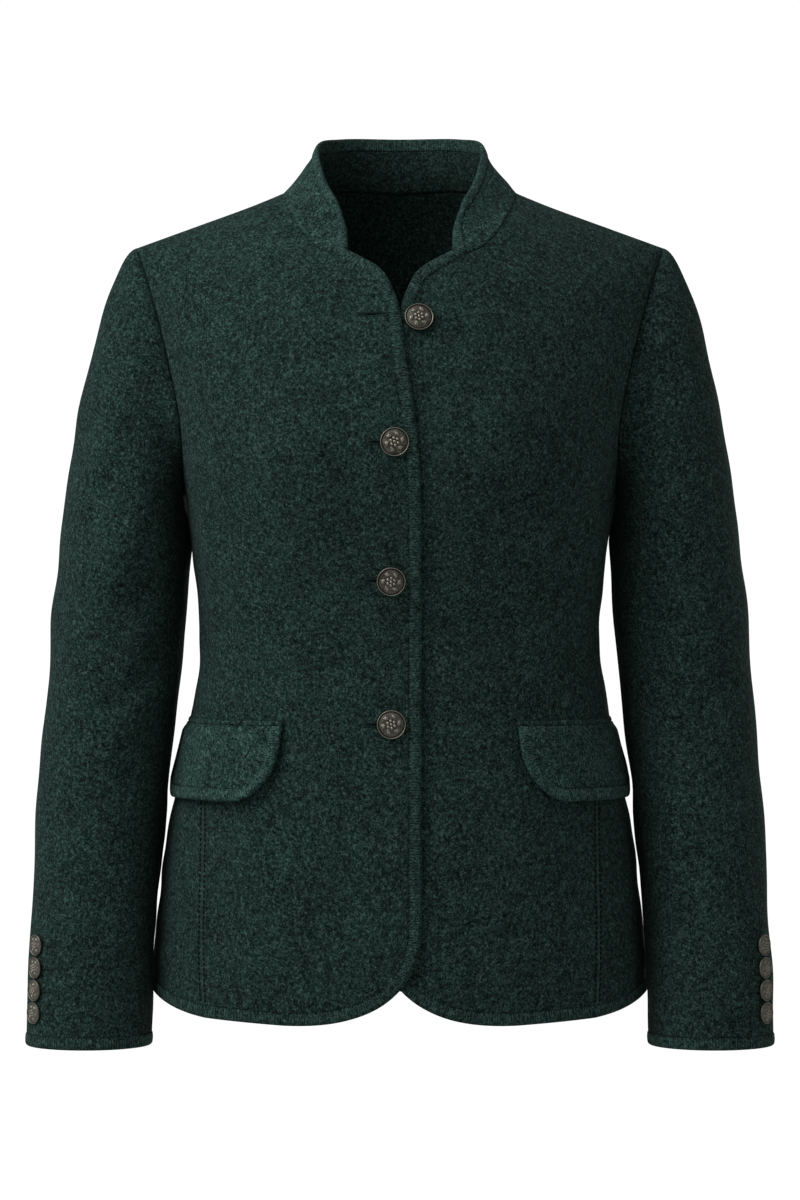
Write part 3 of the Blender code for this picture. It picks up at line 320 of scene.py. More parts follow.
class JacketCloth(bpy.types.PropertyGroup):
    """Sizes and colours of the cloth and its bands"""

    fineness: IntProperty(
        name="Fineness", description="Cuts of each division of the packed jacket's cloth", default=7, min=2
    )
    fold_strength: FloatProperty(
        name="Folds", description="Depth of the folds, as a share of the given ones", default=1.0, min=0
    )
    unevenness: FloatProperty(
        name="Unevenness", description="Height of its slow waves", default=0.45 * MM, min=0, unit="LENGTH"
    )
    seam_sink: FloatProperty(
        name="Seam depth", description="How far it rolls in at a seam", default=0.9 * MM, min=0, unit="LENGTH"
    )
    nap: FloatProperty(
        name="Nap", description="Height of the matted surface", default=0.35 * MM, min=0, unit="LENGTH"
    )
    dark: FloatVectorProperty(
        name="Dark wool", description="Colour between the fibres",
        default=(0.0007, 0.0044, 0.0035), subtype="COLOR", max=1,
    )
    middle: FloatVectorProperty(
        name="Wool", description="Main colour of the cloth",
        default=(0.0113, 0.0390, 0.0314), subtype="COLOR", max=1,
    )
    light: FloatVectorProperty(
        name="Light fibres", description="Colour of the palest fibres",
        default=(0.088, 0.168, 0.143), subtype="COLOR", max=1,
    )
    thread: FloatVectorProperty(
        name="Thread", description="Colour of the sewing thread",
        default=(0.030, 0.058, 0.050), subtype="COLOR", max=1,
    )


class JacketButtons(bpy.types.PropertyGroup):
    """Sizes and colours of the buttons"""

    front_diameter: FloatProperty(
        name="Front buttons", description="Diameter of the front buttons", default=20 * MM, unit="LENGTH"
    )
    cuff_diameter: FloatProperty(
        name="Cuff buttons", description="Diameter of the cuff buttons", default=15 * MM, unit="LENGTH"
    )
    turns: IntProperty(name="Steps round", description="Divisions round a front button", default=120, min=24)
    metal: FloatVectorProperty(
        name="Metal", description="Colour of the worn metal",
        default=(0.39, 0.370, 0.305), subtype="COLOR", max=1,
    )
    patina: FloatVectorProperty(
        name="Patina", description="Colour in the hollows of the metal",
        default=(0.024, 0.022, 0.0175), subtype="COLOR", max=1,
    )


class JacketStage(bpy.types.PropertyGroup):
    """The studio"""

    distance: FloatProperty(
        name="Camera distance", description="From the camera to the middle", default=2.5, unit="LENGTH"
    )
    frame_height: FloatProperty(
        name="Height in view", description="Height that the picture covers", default=0.864, unit="LENGTH"
    )
    centre_height: FloatProperty(
        name="Camera height", description="Height of the camera over the origin", default=-0.29, unit="LENGTH"
    )
    floor_height: FloatProperty(
        name="Floor", description="Height of the floor under the jacket", default=-1.38, unit="LENGTH"
    )
    key_light: FloatProperty(
        name="Key light", description="Power of the large light at the left", default=25.0, unit="POWER"
    )
    top_light: FloatProperty(
        name="Top light", description="Power of the small light over the shoulder", default=8.0, unit="POWER"
    )
    back_light: FloatProperty(
        name="Back light", description="Power of the light behind the jacket", default=14.0, unit="POWER"
    )
    ambient: FloatProperty(name="Ambient", description="Strength of the light around", default=0.245, min=0)


# --- Small tools ---


def table(columns, rows):
    """The rows' numbers, by the name of their column."""
    return dict(zip(columns, np.array(rows, float).T))


TORSO = table(TORSO_COLUMNS, TORSO_ROWS)
SIDE_SEAM = table(SIDE_SEAM_COLUMNS, [(level, *np.radians(seams)) for level, *seams in SIDE_SEAM_ROWS])
COLLAR = table(COLLAR_COLUMNS, COLLAR_ROWS)
SLEEVE = table(SLEEVE_COLUMNS, SLEEVE_ROWS)


def cubic(t, first, last, leaving, arriving):
    """A Hermite cubic from the first value to the last, with these slopes at its ends."""
    start = (1 + 2 * t) * (1 - t) ** 2 * first + t * (1 - t) ** 2 * leaving
    return start + t**2 * (3 - 2 * t) * last - t**2 * (1 - t) * arriving


def smooth(places, knots, values):
    """A cubic through the values at the knots, with slopes from their neighbours, held beyond both ends."""
    slopes = np.gradient(values, knots)
    places = np.clip(places, knots[0], knots[-1])
    k = np.clip(np.searchsorted(knots, places, side="right") - 1, 0, len(knots) - 2)
    span = knots[k + 1] - knots[k]
    share = (places - knots[k]) / span
    return cubic(share, values[k], values[k + 1], span * slopes[k], span * slopes[k + 1])


def ease(share):
    """A smooth step from 0 to 1: 3 t² - 2 t³."""
    share = np.clip(share, 0, 1)
    return share**2 * (3 - 2 * share)


def signed_power(value, exponent):
    """The power of the value's size, with the value's sign."""
    return np.sign(value) * np.abs(value) ** exponent


def unit(vectors):
    """The vectors at a length of one."""
    return vectors / np.maximum(np.linalg.norm(vectors, axis=-1, keepdims=True), 1e-12)


def lengths(points):
    """Distance along these points, from the first one."""
    steps = np.linalg.norm(np.diff(points, axis=0), axis=-1)
    return np.concatenate([np.zeros_like(steps[:1]), np.cumsum(steps, axis=0)])


def spread(points, count, between=np.interp):
    """That many points at even distances along these ones, with straight or smooth stretches between."""
    points = np.array(points, float)
    along = lengths(points)
    places = np.linspace(0, along[-1], count)
    return np.stack([between(places, along, column) for column in points.T], axis=1)


def marks(count, fine, close=COLUMN_ENDS):
    """Places along so many divisions, each cut finely, with closer ones at both ends. An even place that
    lies less than a third of a step from the close ones is left out."""
    even = np.linspace(0, count, count * fine + 1)
    clear = close[-1] + 0.3 / fine
    even = even[(even > clear) & (even < count - clear)]
    close = np.array(close)
    return np.concatenate([[0], close, even, count - close[::-1], [count]])


def at(places, values):
    """The values, given at whole divisions, at these places."""
    return np.interp(places, np.arange(len(values)), values)


def refine(values, fine):
    """The values with each step between them cut into so many."""
    return at(np.linspace(0, len(values) - 1, (len(values) - 1) * fine + 1), values)


def mirrored(half):
    """The half from the front end to the centre back, then the other side's half, back to its front end."""
    return np.concatenate([half, half[-2::-1] * (-1, 1, 1)], axis=0)


def along_line(places, line):
    """The points of a line, given at whole divisions, at these places."""
    return np.stack([at(places, column) for column in line.T], axis=-1)


def patch(bottom, top, start, end, u, v):
    """A grid between four edges (a Coons patch): the sum of the two ruled surfaces less the bilinear one
    through the corners. Its rows follow the bottom and top edges at places u, its columns the others at
    v."""
    u, v = (u / u[-1])[None, :, None], (v / v[-1])[:, None, None]
    across = (1 - u) * start[:, None] + u * end[:, None]
    upward = (1 - v) * bottom[None] + v * top[None]
    corners = (1 - v) * ((1 - u) * bottom[0] + u * bottom[-1]) + v * ((1 - u) * top[0] + u * top[-1])
    return across + upward - corners


# --- The body's surface ---


def ridge(across):
    """Height of the shoulder ridge: a straight slope, with a rise towards the neck inside the neckline."""
    neck = np.clip(1 - np.abs(across) / NECK_REACH, 0, None) ** 2
    return TIP_HEIGHT + SHOULDER_SLOPE * (TIP_ACROSS - np.abs(across)) + NECK_RISE * neck


def nape(across):
    """How much higher than the ridge's guide the upper back lies between the neck points."""
    share = np.clip(np.abs(across) / NECK_ACROSS, 0, 1)
    arch = 4 * share * (1 - share)
    return NAPE_RISE * arch * (1 - share**NAPE_END)


def hem(girth):
    """Height of the hem, which sweeps up to the sides with a power of the sine."""
    middle = np.where(np.cos(girth) > 0, HEM_FRONT, HEM_BACK)
    return middle + (HEM_SIDE - middle) * np.sin(girth) ** HEM_SWEEP


def rise_of(level):
    """Share of the way from the chest up to the ridge. Levels crowd at the ridge, where the cloth turns."""
    return np.where(level > 0, 1 - (1 - np.clip(level, 0, 1)) ** LEVEL_POWER, level)


def level_of(rise):
    """The level at this share of the way up: the inverse of rise_of."""
    return np.where(rise > 0, 1 - (1 - np.clip(rise, 0, 1)) ** (1 / LEVEL_POWER), rise)


def half_width(height, high):
    """Half the body's width at this height up to the chest, or at this rise over it."""
    return smooth(height, TORSO["height"], TORSO["half_width"]) + SPREAD * high + SPREAD_CURVE * high**2


def closing(high, powers):
    """Share of the chest's depth that is left at this rise: all of it at the chest, none on the ridge."""
    return np.clip(1 - high ** powers[0], 0, 1) ** powers[1]


def skin(girth, level):
    """Points of the body's outer surface on the wearer's left. Sections are rounded ovals, across = w
    sin(g) and depth = d cos(g), each with the power 2 / FULLNESS. Above the chest the columns fan out and
    lean in to the ridge, and a bell-shaped bust is added to the front."""
    rise = rise_of(level)
    low, high = np.minimum(rise, 0), np.maximum(rise, 0)
    height = CHEST + low * (CHEST - hem(girth))
    across = half_width(height, high) * signed_power(np.sin(girth), 2 / FULLNESS)
    front = -smooth(height, TORSO["height"], TORSO["front_depth"]) * closing(high, FRONT_CLOSING)
    back = smooth(height, TORSO["height"], TORSO["back_depth"]) * closing(high, BACK_CLOSING)
    facing = np.cos(girth)
    depth = np.where(facing > 0, front, back) * np.abs(facing) ** (2 / FULLNESS)
    height = height + (ridge(across) + np.where(facing < 0, nape(across), 0) - CHEST) * high
    aside, over = (np.abs(across) - BUST_ACROSS) / BUST_SPREAD, (height - BUST_HEIGHT) / BUST_FALL
    bust = np.exp(-(aside**2) - over**2)
    return np.stack([across, depth - BUST_RISE * bust * np.clip(facing, 0, 1), height], axis=-1)


def body(side, chart, lift=0.0, lap=0.0):
    """Points of the chart on one side, moved out of the cloth's surface by lift. Near the centre front, a
    positive lap moves them forward onto the other front and a negative one back under it."""
    girth, level = chart[..., 0], chart[..., 1]
    step = 1e-3
    around = skin(girth + step, level) - skin(girth - step, level)
    upward = skin(girth, np.minimum(level + step, 1)) - skin(girth, np.maximum(level - step, -1))
    normal = unit(np.cross(around, upward))
    points = skin(girth, level) + normal * np.asarray(lift)[..., None]
    points[..., 1] -= lap * ease((LAP_FAR - points[..., 0]) / (LAP_FAR - LAP_NEAR)) * (np.cos(girth) > 0)
    return points * (side, 1, 1)


def from_front(across, height):
    """The chart's place of the points of the front that are seen here from the front."""
    high = np.clip((height - CHEST) / (ridge(across) - CHEST), 0, 1)
    girth = np.arcsin(np.clip(signed_power(across / half_width(height, high), FULLNESS / 2), -1, 1))
    level = np.where(height > CHEST, level_of(high), (height - CHEST) / (CHEST - hem(girth)))
    return np.stack([girth, level], axis=-1)


def from_plan(across, depth):
    """The chart's place of the points of the upper body that lie here in plan, closed in on in rounds."""
    is_front = depth < 0
    powers = np.where(is_front, np.array([FRONT_CLOSING]).T, np.array([BACK_CLOSING]).T)
    chest = np.where(is_front, TORSO["front_depth"][-1], TORSO["back_depth"][-1])
    rise = np.full(np.shape(across), 0.8)
    for _ in range(NECK_ROUNDS):
        girth = np.arcsin(signed_power(across / half_width(CHEST, rise), FULLNESS / 2))
        share = np.abs(depth) / (chest * np.cos(girth) ** (2 / FULLNESS))
        rise = (1 - share ** (1 / powers[1])) ** (1 / powers[0])
    return np.stack([np.where(is_front, girth, np.pi - girth), level_of(rise)], axis=-1)


def armhole_angle(level):
    """Half the armhole's angle at this level: nothing at its lowest point. Its sides end straight."""
    share = np.clip((ARMHOLE_STRAIGHT - level) / (ARMHOLE_STRAIGHT - ARMHOLE_BOTTOM), 0, 1)
    return ARMHOLE_HALF * (1 - share**ARMHOLE_FULLNESS) ** (1 / ARMHOLE_FULLNESS)


def armhole_level(girth):
    """Level of the armhole's lower edge at this girth."""
    share = np.clip(np.abs(girth - np.pi / 2) / ARMHOLE_HALF, 0, 1)
    drop = (ARMHOLE_STRAIGHT - ARMHOLE_BOTTOM) * (1 - share**ARMHOLE_FULLNESS) ** (1 / ARMHOLE_FULLNESS)
    return ARMHOLE_STRAIGHT - drop


# --- Edges that pieces share ---


def neckline():
    """The neckline on the chart: quarter ovals in plan, from the notch over the neck point to the back."""
    turn = np.linspace(0, math.pi / 2, EDGE_SAMPLES)
    across = NOTCH_ACROSS + (NECK_ACROSS - NOTCH_ACROSS) * np.sin(turn)
    front = from_plan(across, -NECK_FRONT * np.cos(turn) - TINY)
    back = from_plan(NECK_ACROSS * np.cos(turn), NECK_BACK * np.sin(turn))
    return front, back


NECK_CHARTS = neckline()
NECK_POINTS = body(1, np.concatenate(NECK_CHARTS))
NECK_ALONG = lengths(NECK_POINTS) / lengths(NECK_POINTS)[-1]
NECK_POINT = NECK_ALONG[EDGE_SAMPLES]


def neck_chart(along, half):
    """The chart's place of these shares of the neckline, on its front half (0) or its back half (1)."""
    run = slice(half * EDGE_SAMPLES, (half + 1) * EDGE_SAMPLES)
    return np.stack([np.interp(along, NECK_ALONG[run], column) for column in NECK_CHARTS[half].T], axis=-1)


NOTCH_CUT = INWARDS / COLLAR_LENGTH
FRONT_NECK = np.linspace(NOTCH_CUT, NECK_POINT, FRONT_NECK_COLUMNS + 1)
BACK_NECK = np.linspace(NECK_POINT, 1, BACK_NECK_COLUMNS + 1)


def front_edge():
    """The front's free edge seen from the front, from the notch to the side seam, the directions into the
    cloth from each of its points, and how far along it are the middles of its upper and its lower corner.
    The lower corner is a quarter of a rounded oval."""
    notch = NECK_POINTS[0]
    lapel = np.array([notch[0], notch[2]]) - spread(LAPEL_ROWS, EDGE_SAMPLES, smooth)
    edge = lapel[-1][0]
    turn = np.linspace(0, math.pi / 2, EDGE_SAMPLES)
    corner_across = edge + CORNER_WIDTH * (1 - np.cos(turn) ** (2 / CORNER_FULLNESS))
    corner_up = CORNER_HEIGHT * (1 - np.sin(turn) ** (2 / CORNER_FULLNESS))
    across = np.append(corner_across, skin(SIDE_SEAM["front"][0], -1.0)[0])
    up = np.append(corner_up, 0)
    corner = np.stack([across, hem(from_front(across, HEM_FRONT)[:, 0]) + up], axis=1)
    points = np.concatenate([lapel, corner])
    middle = lengths(points)[EDGE_SAMPLES + EDGE_SAMPLES // 2] / lengths(points)[-1]
    turn = LAPEL_TURN / lengths(points)[-1]
    points = spread(points, 4 * EDGE_SAMPLES)
    ahead = unit(np.gradient(points, axis=0))
    into = np.stack([-ahead[:, 1], ahead[:, 0]], axis=1)
    inner = body(1, neck_chart(NOTCH_CUT, 0))
    seam = (np.array([inner[0], inner[2]]) - points[0]) / INWARDS
    share = np.clip(1 - lengths(points) / NOTCH_BLEND, 0, 1)[:, None]
    return points, into + (seam - into) * share, turn, middle


EDGE_POINTS, EDGE_INTO, EDGE_TURN, EDGE_CORNER = front_edge()


def edge_chart(along, distance):
    """The chart's place of the points at these shares of the front's free edge, this far into the cloth."""
    shares = lengths(EDGE_POINTS) / lengths(EDGE_POINTS)[-1]
    inset = EDGE_POINTS + EDGE_INTO * distance
    across, height = (np.interp(along, shares, column) for column in inset.T)
    return from_front(across, height)


EDGE_TOP = np.linspace(EDGE_TURN, 0, LAPEL_COLUMNS + 1)
EDGE_SIDE = np.linspace(EDGE_CORNER, EDGE_TURN, SEAM_DIVISIONS + ARMHOLE_DIVISIONS + 1)
EDGE_BOTTOM = np.linspace(EDGE_CORNER, 1, LAPEL_COLUMNS + FRONT_NECK_COLUMNS + SHOULDER_COLUMNS + 1)


def hem_level(girth, distance):
    """Level of the line at this distance above the hem."""
    return -1 + distance / (CHEST - hem(girth))


def side_line(name, sign, places):
    """The seam of the front (or back) and the side panel, then the armhole's edge up to the shoulder tip."""
    lowest = hem_level(SIDE_SEAM[name][0], INWARDS)
    upper = np.linspace(0, 1, ARMHOLE_DIVISIONS + 1)
    level = at(places, np.append(np.linspace(lowest, 0, SEAM_DIVISIONS + 1), upper[1:]))
    seam = smooth(level, SIDE_SEAM["level"], SIDE_SEAM[name])
    armhole = math.pi / 2 + sign * armhole_angle(np.maximum(level, 0))
    return np.stack([np.where(level > 0, armhole, seam), level], axis=1)


def join(places, *stretches):
    """One line of chart places from stretches (divisions, function of the places within), in turn."""
    found, start = np.zeros((len(places), 2)), 0
    for count, chart in stretches:
        inside = (places >= start) & (places <= start + count)
        found[inside] = chart(places[inside] - start)
        start += count
    return found


def shoulder_line(neck_girth, tip_girth, places):
    """The shoulder seam: the top of the chart between these two girths."""
    girth = neck_girth + (tip_girth - neck_girth) * places / SHOULDER_COLUMNS
    return np.stack([girth, np.ones_like(girth)], axis=1)


# --- Folds ---


def folds(rows, around, height):
    """Height of the folds here: the sum of soft troughs and ridges. Each has the bell-shaped section
    exp(-(d / w)²) round a line that bows sideways like half a sine wave, and fades to its ends."""
    total = np.zeros(np.shape(height))
    for from_around, from_height, to_around, to_height, bow, width, depth in rows:
        run = np.array([to_around - from_around, to_height - from_height])
        length = np.hypot(*run)
        ahead = run / length
        x, y = around - from_around, height - from_height
        share = (x * ahead[0] + y * ahead[1]) / length
        aside = x * ahead[1] - y * ahead[0] - bow * np.sin(math.pi * np.clip(share, 0, 1))
        fade = ease((share + 0.25) / 0.55) * ease((1.25 - share) / 0.55)
        total += depth * fade * np.exp(-((aside / width) ** 2))
    return total


def all_round(rows):
    """The rows and the same a whole turn back, so that a fold runs on past the innermost line of a sleeve."""
    return [(a - turn, b, c - turn, *rest) for a, b, c, *rest in rows for turn in (0, 360)]


def scaled(rows, degree):
    """The rows with their angles turned into millimetres of cloth."""
    return [(a * degree, b, c * degree, d, *rest) for a, b, c, d, *rest in rows]


def slow_waves(points, seed):
    """An uneven surface between about -1 and 1: a sum of plane waves in many directions."""
    chance = np.random.default_rng(seed)
    total = np.zeros(points.shape[:-1])
    for _ in range(WAVE_COUNT):
        way = unit(chance.normal(size=3)) * 2 * math.pi / chance.uniform(*WAVE_LENGTHS)
        total += np.sin(points @ way + chance.uniform(0, 2 * math.pi))
    return total / math.sqrt(WAVE_COUNT / 2)


def clear_of(distance, clear):
    """A share that eases from 0 at the first of these distances to 1 over the second."""
    return ease((distance - clear[0]) / clear[1])


def border_distance(grid, borders):
    """Distance along the grid's lines to the nearest of its named borders, and how far along that border it
    is. A border given as (name, first, last) counts for those columns only. Without one it is a metre."""
    down, along = lengths(grid), np.swapaxes(lengths(np.swapaxes(grid, 0, 1)), 0, 1)
    found = {
        "bottom": (down, along),
        "top": (down[-1] - down, along),
        "start": (along, down),
        "end": (along[:, -1:] - along, down),
    }
    far, run = np.full(grid.shape[:2], 1 / MM), np.zeros(grid.shape[:2])
    column = np.arange(grid.shape[1])
    for border in borders:
        name, first, last = border if isinstance(border, tuple) else (border, 0, grid.shape[1])
        distance, place = found[name]
        distance = np.where((column >= first) & (column <= last), distance, 1 / MM)
        run = np.where(distance < far, place, run)
        far = np.minimum(far, distance)
    return far, run


def tongue(distance):
    """How much thinner each face of a panel is where it goes into the fold of a band: all of it up to the
    band's border, and none from just past that."""
    return TONGUE_DEPTH * (1 - clear_of(distance, TONGUE_CLEAR))


def body_relief(cloth, side, chart, points):
    """Height of the cloth over the body's surface: folds and slow waves. They die away towards the front's
    edge, which lies flat on the other front, and towards the shoulder."""
    girth, level = chart[..., 0], chart[..., 1]
    rows = scaled(RIGHT_FOLDS if side < 0 else LEFT_FOLDS, DEGREE)
    lift = cloth.fold_strength * folds(rows, np.degrees(girth) * DEGREE, points[..., 2])
    lift = lift + slow_waves(points, BODY_WAVES) * cloth.unevenness / MM
    held = clear_of(points[..., 2], SHOULDER_CLEAR) * clear_of(1 - level, RIDGE_CLEAR)
    held = held * ease(1 - np.abs(level - FREE_LEVEL) ** FREE_POWER)
    from_edge = EDGE_RELIEF + (1 - EDGE_RELIEF) * clear_of(np.abs(points[..., 0]), EDGE_CLEAR)
    return lift * held * np.where(np.cos(girth) < 0, 1, from_edge)


def seam_share(level):
    """How deep the seams are at this level, as a share: all at the armhole, less over and under it."""
    return SOFT_SEAM + (1 - SOFT_SEAM) * clear_of(level, DEEP_FROM) * (1 - clear_of(level, DEEP_TO))


def painted_gap_shade(points, gap, reach):
    """How much painted shade darkens the wool in a gap this wide between the arm and the body, as a share."""
    below = 1 - ease((points[..., 2] - SHADE_TOP) / SHADE_FADE)
    return np.exp(-((np.clip(gap, 0, None) / reach) ** 2)) * below


def sizes_at(height, sizes):
    """The sizes of the body's or a sleeve's section at this height, by name."""
    return {name: smooth(height, sizes["height"], column) for name, column in sizes.items()}


def painted_shade_at_body(points):
    """The painted shade on the body's points, from how far they are from the sleeve's oval section at their
    height.
    """
    sleeve = sizes_at(points[..., 2], SLEEVE)
    across = (np.abs(points[..., 0]) - sleeve["across"]) / sleeve["half_width"]
    depth = (points[..., 1] - sleeve["depth"]) / sleeve["half_depth"]
    return painted_gap_shade(points, (np.hypot(across, depth) - 1) * sleeve["half_width"], BODY_SHADE)


def painted_shade_at_sleeve(points):
    """The same on the sleeve's points, from how far they are from the body's section at their height."""
    torso = sizes_at(points[..., 2], TORSO)
    deep = np.where(points[..., 1] < 0, torso["front_depth"], torso["back_depth"])
    wide = torso["half_width"]
    power = (np.abs(points[..., 0]) / wide) ** FULLNESS + np.abs(points[..., 1] / deep) ** FULLNESS
    return painted_gap_shade(points, (power ** (1 / FULLNESS) - 1) * wide, SLEEVE_SHADE)


def seam_roll(cloth, distance, run, share=1.0):
    """The cloth sinks into a seam, more at some stitches than at others, and stands proud beside it."""
    uneven = 1 + 0.25 * np.sin(run / STITCH_WAVES[0]) * np.sin(run / STITCH_WAVES[1] + 1)
    sink = cloth.seam_sink / MM * share
    proud = PROUD * sink * np.exp(-(((distance - PROUD_AT) / PROUD_WIDTH) ** 2))
    return -sink * np.exp(-((distance / GROOVE) ** 2)) * uneven + proud


# --- Meshes ---


def make_mesh(name, points, faces, material, uv=None, marks=None):
    """An object from points in millimetres, arrays of faces with equal corner counts, a UV place for each
    corner of each face and named numbers for each point. Its faces are turned outward."""
    mesh = bpy.data.meshes.new(name)
    points = np.asarray(points, float).reshape(-1, 3)
    triangles = np.concatenate([f[:, [0, k, k + 1]] for f in faces for k in range(1, f.shape[1] - 1)])
    a, b, c = (points[triangles[:, k]] for k in range(3))
    inside_out = (a * np.cross(b, c)).sum() < 0
    if inside_out:
        faces = [f[:, ::-1] for f in faces]
        uv = None if uv is None else [u[:, ::-1] for u in uv]
    corners = np.concatenate([f.ravel() for f in faces])
    counts = np.concatenate([np.full(len(f), f.shape[1]) for f in faces])
    mesh.vertices.add(len(points))
    mesh.vertices.foreach_set("co", (points * MM).ravel())
    mesh.loops.add(len(corners))
    mesh.loops.foreach_set("vertex_index", corners.astype(np.int32))
    mesh.polygons.add(len(counts))
    mesh.polygons.foreach_set("loop_start", (np.cumsum(counts) - counts).astype(np.int32))
    mesh.update(calc_edges=True)
    if uv is not None:
        layer = mesh.uv_layers.new(name="Cloth")
        layer.data.foreach_set("uv", (np.concatenate([u.reshape(-1, 2) for u in uv]) * MM).ravel())
    for title, values in (marks or {}).items():
        attribute = mesh.attributes.new(title, "FLOAT", "POINT")
        attribute.data.foreach_set("value", np.asarray(values, float).ravel())
    mesh.validate()
    mesh.shade_smooth()
    mesh.materials.append(material)
    made = bpy.data.objects.new(name, mesh)
    bpy.context.scene.collection.objects.link(made)
    return made


def grid_faces(index):
    """The quads of a grid of point numbers."""
    return np.stack([index[:-1, :-1], index[:-1, 1:], index[1:, 1:], index[1:, :-1]], -1).reshape(-1, 4)


def shell(name, outer, inner, material, uv=None, marks=None, closed=False):
    """A wall between two grids of points, closed round its border; a closed one has its last column meet
    its first. uv has one column more than a closed grid. The mark "inside" is 1 on the inner grid."""
    rows, columns = outer.shape[:2]
    index = np.arange(rows * columns).reshape(rows, columns)
    if closed:
        index = np.concatenate([index, index[:, :1]], axis=1)
    other = index + rows * columns
    if closed:
        first = np.stack([index[0, 1:], index[0, :-1], other[0, :-1], other[0, 1:]], -1)
        last = np.stack([index[-1, :-1], index[-1, 1:], other[-1, 1:], other[-1, :-1]], -1)
        walls = np.concatenate([first, last])
    else:
        loop = np.concatenate([index[0, :-1], index[:-1, -1], index[-1, :0:-1], index[:0:-1, 0]])
        after = np.roll(loop, -1)
        walls = np.stack([after, loop, loop + rows * columns, after + rows * columns], -1)
    faces = [grid_faces(index), grid_faces(other)[:, ::-1], walls]
    corners = None
    if uv is not None:
        flat = uv.reshape(-1, 2)
        places = np.arange(uv.shape[0] * uv.shape[1]).reshape(uv.shape[:2])
        plane = flat[grid_faces(places)]
        corners = [plane, plane[:, ::-1], np.zeros((len(walls), 4, 2))]
    points = np.concatenate([outer.reshape(-1, 3), inner.reshape(-1, 3)])
    both = {key: np.concatenate([np.ravel(v), np.ravel(v)]) for key, v in (marks or {}).items()}
    both["inside"] = np.repeat([0.0, 1.0], rows * columns)
    return make_mesh(name, points, faces, material, corners, both)


def inset(grid, mirror=False, ends_only=False):
    """The grid with its border drawn in by half the seam gap: its first and last rows and, unless only the
    ends are meant, its first and last columns. The last column of a half that is mirrored stays."""
    grid = grid.copy()
    for border, neighbour in ((0, 1), (-1, -2)):
        grid[border] += unit(grid[neighbour] - grid[border]) * SEAM_GAP / 2
        if not (ends_only or mirror and border):
            grid[:, border] += unit(grid[:, neighbour] - grid[:, border]) * SEAM_GAP / 2
    return grid


def cloth_shell(cloth, node, outer, inner, marks, uv=None):
    """A piece of the wool between its two walls, named after its CAD node."""
    return shell(f"{node}_cloth", outer, inner, shared("loden", loden, cloth), uv, marks)


def ride_on_jacket(made, node=None):
    """The piece rides on the jacket and stands for its CAD node, if it has one."""
    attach(made, BODY)
    if node:
        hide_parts(node)


def declare_cloth(made, node, cut, area=None):
    """The cloth rides on the jacket and stands for its CAD node. Its cut laid flat and its area, given in
    millimetres, are turned into metres but not used.
    """
    ride_on_jacket(made, node)
    flat = [side * MM for side in cut]
    area and area * MM * MM


# --- Materials ---


class Channel:
    """A socket that carries a number. The operators add Math nodes to its tree."""

    def __init__(self, tree, socket):
        self.tree, self.socket = tree, socket

    def maths(self, operation, *values, clamp=False):
        """The result of a Math node on these numbers or channels."""
        settings = {"operation": operation, "use_clamp": clamp}
        return self.tree.number("ShaderNodeMath", settings, dict(enumerate(values)))

    def __add__(self, other):
        return self.maths("ADD", self, other)

    def __sub__(self, other):
        return self.maths("SUBTRACT", self, other)

    def __rsub__(self, other):
        return self.maths("SUBTRACT", other, self)

    def __mul__(self, other):
        return self.maths("MULTIPLY", self, other)

    def __abs__(self):
        return self.maths("ABSOLUTE", self)

    __radd__, __rmul__ = __add__, __mul__

    def sine(self):
        """The number's sine."""
        return self.maths("SINE", self)

    def clamped(self):
        """The number, held between 0 and 1."""
        return self.maths("ADD", self, 0.0, clamp=True)

    def between(self, low, high):
        """0 at low, 1 at high, eased between."""
        inputs = {"Value": self, "From Min": low, "From Max": high}
        return self.tree.number("ShaderNodeMapRange", {"interpolation_type": "SMOOTHSTEP"}, inputs)


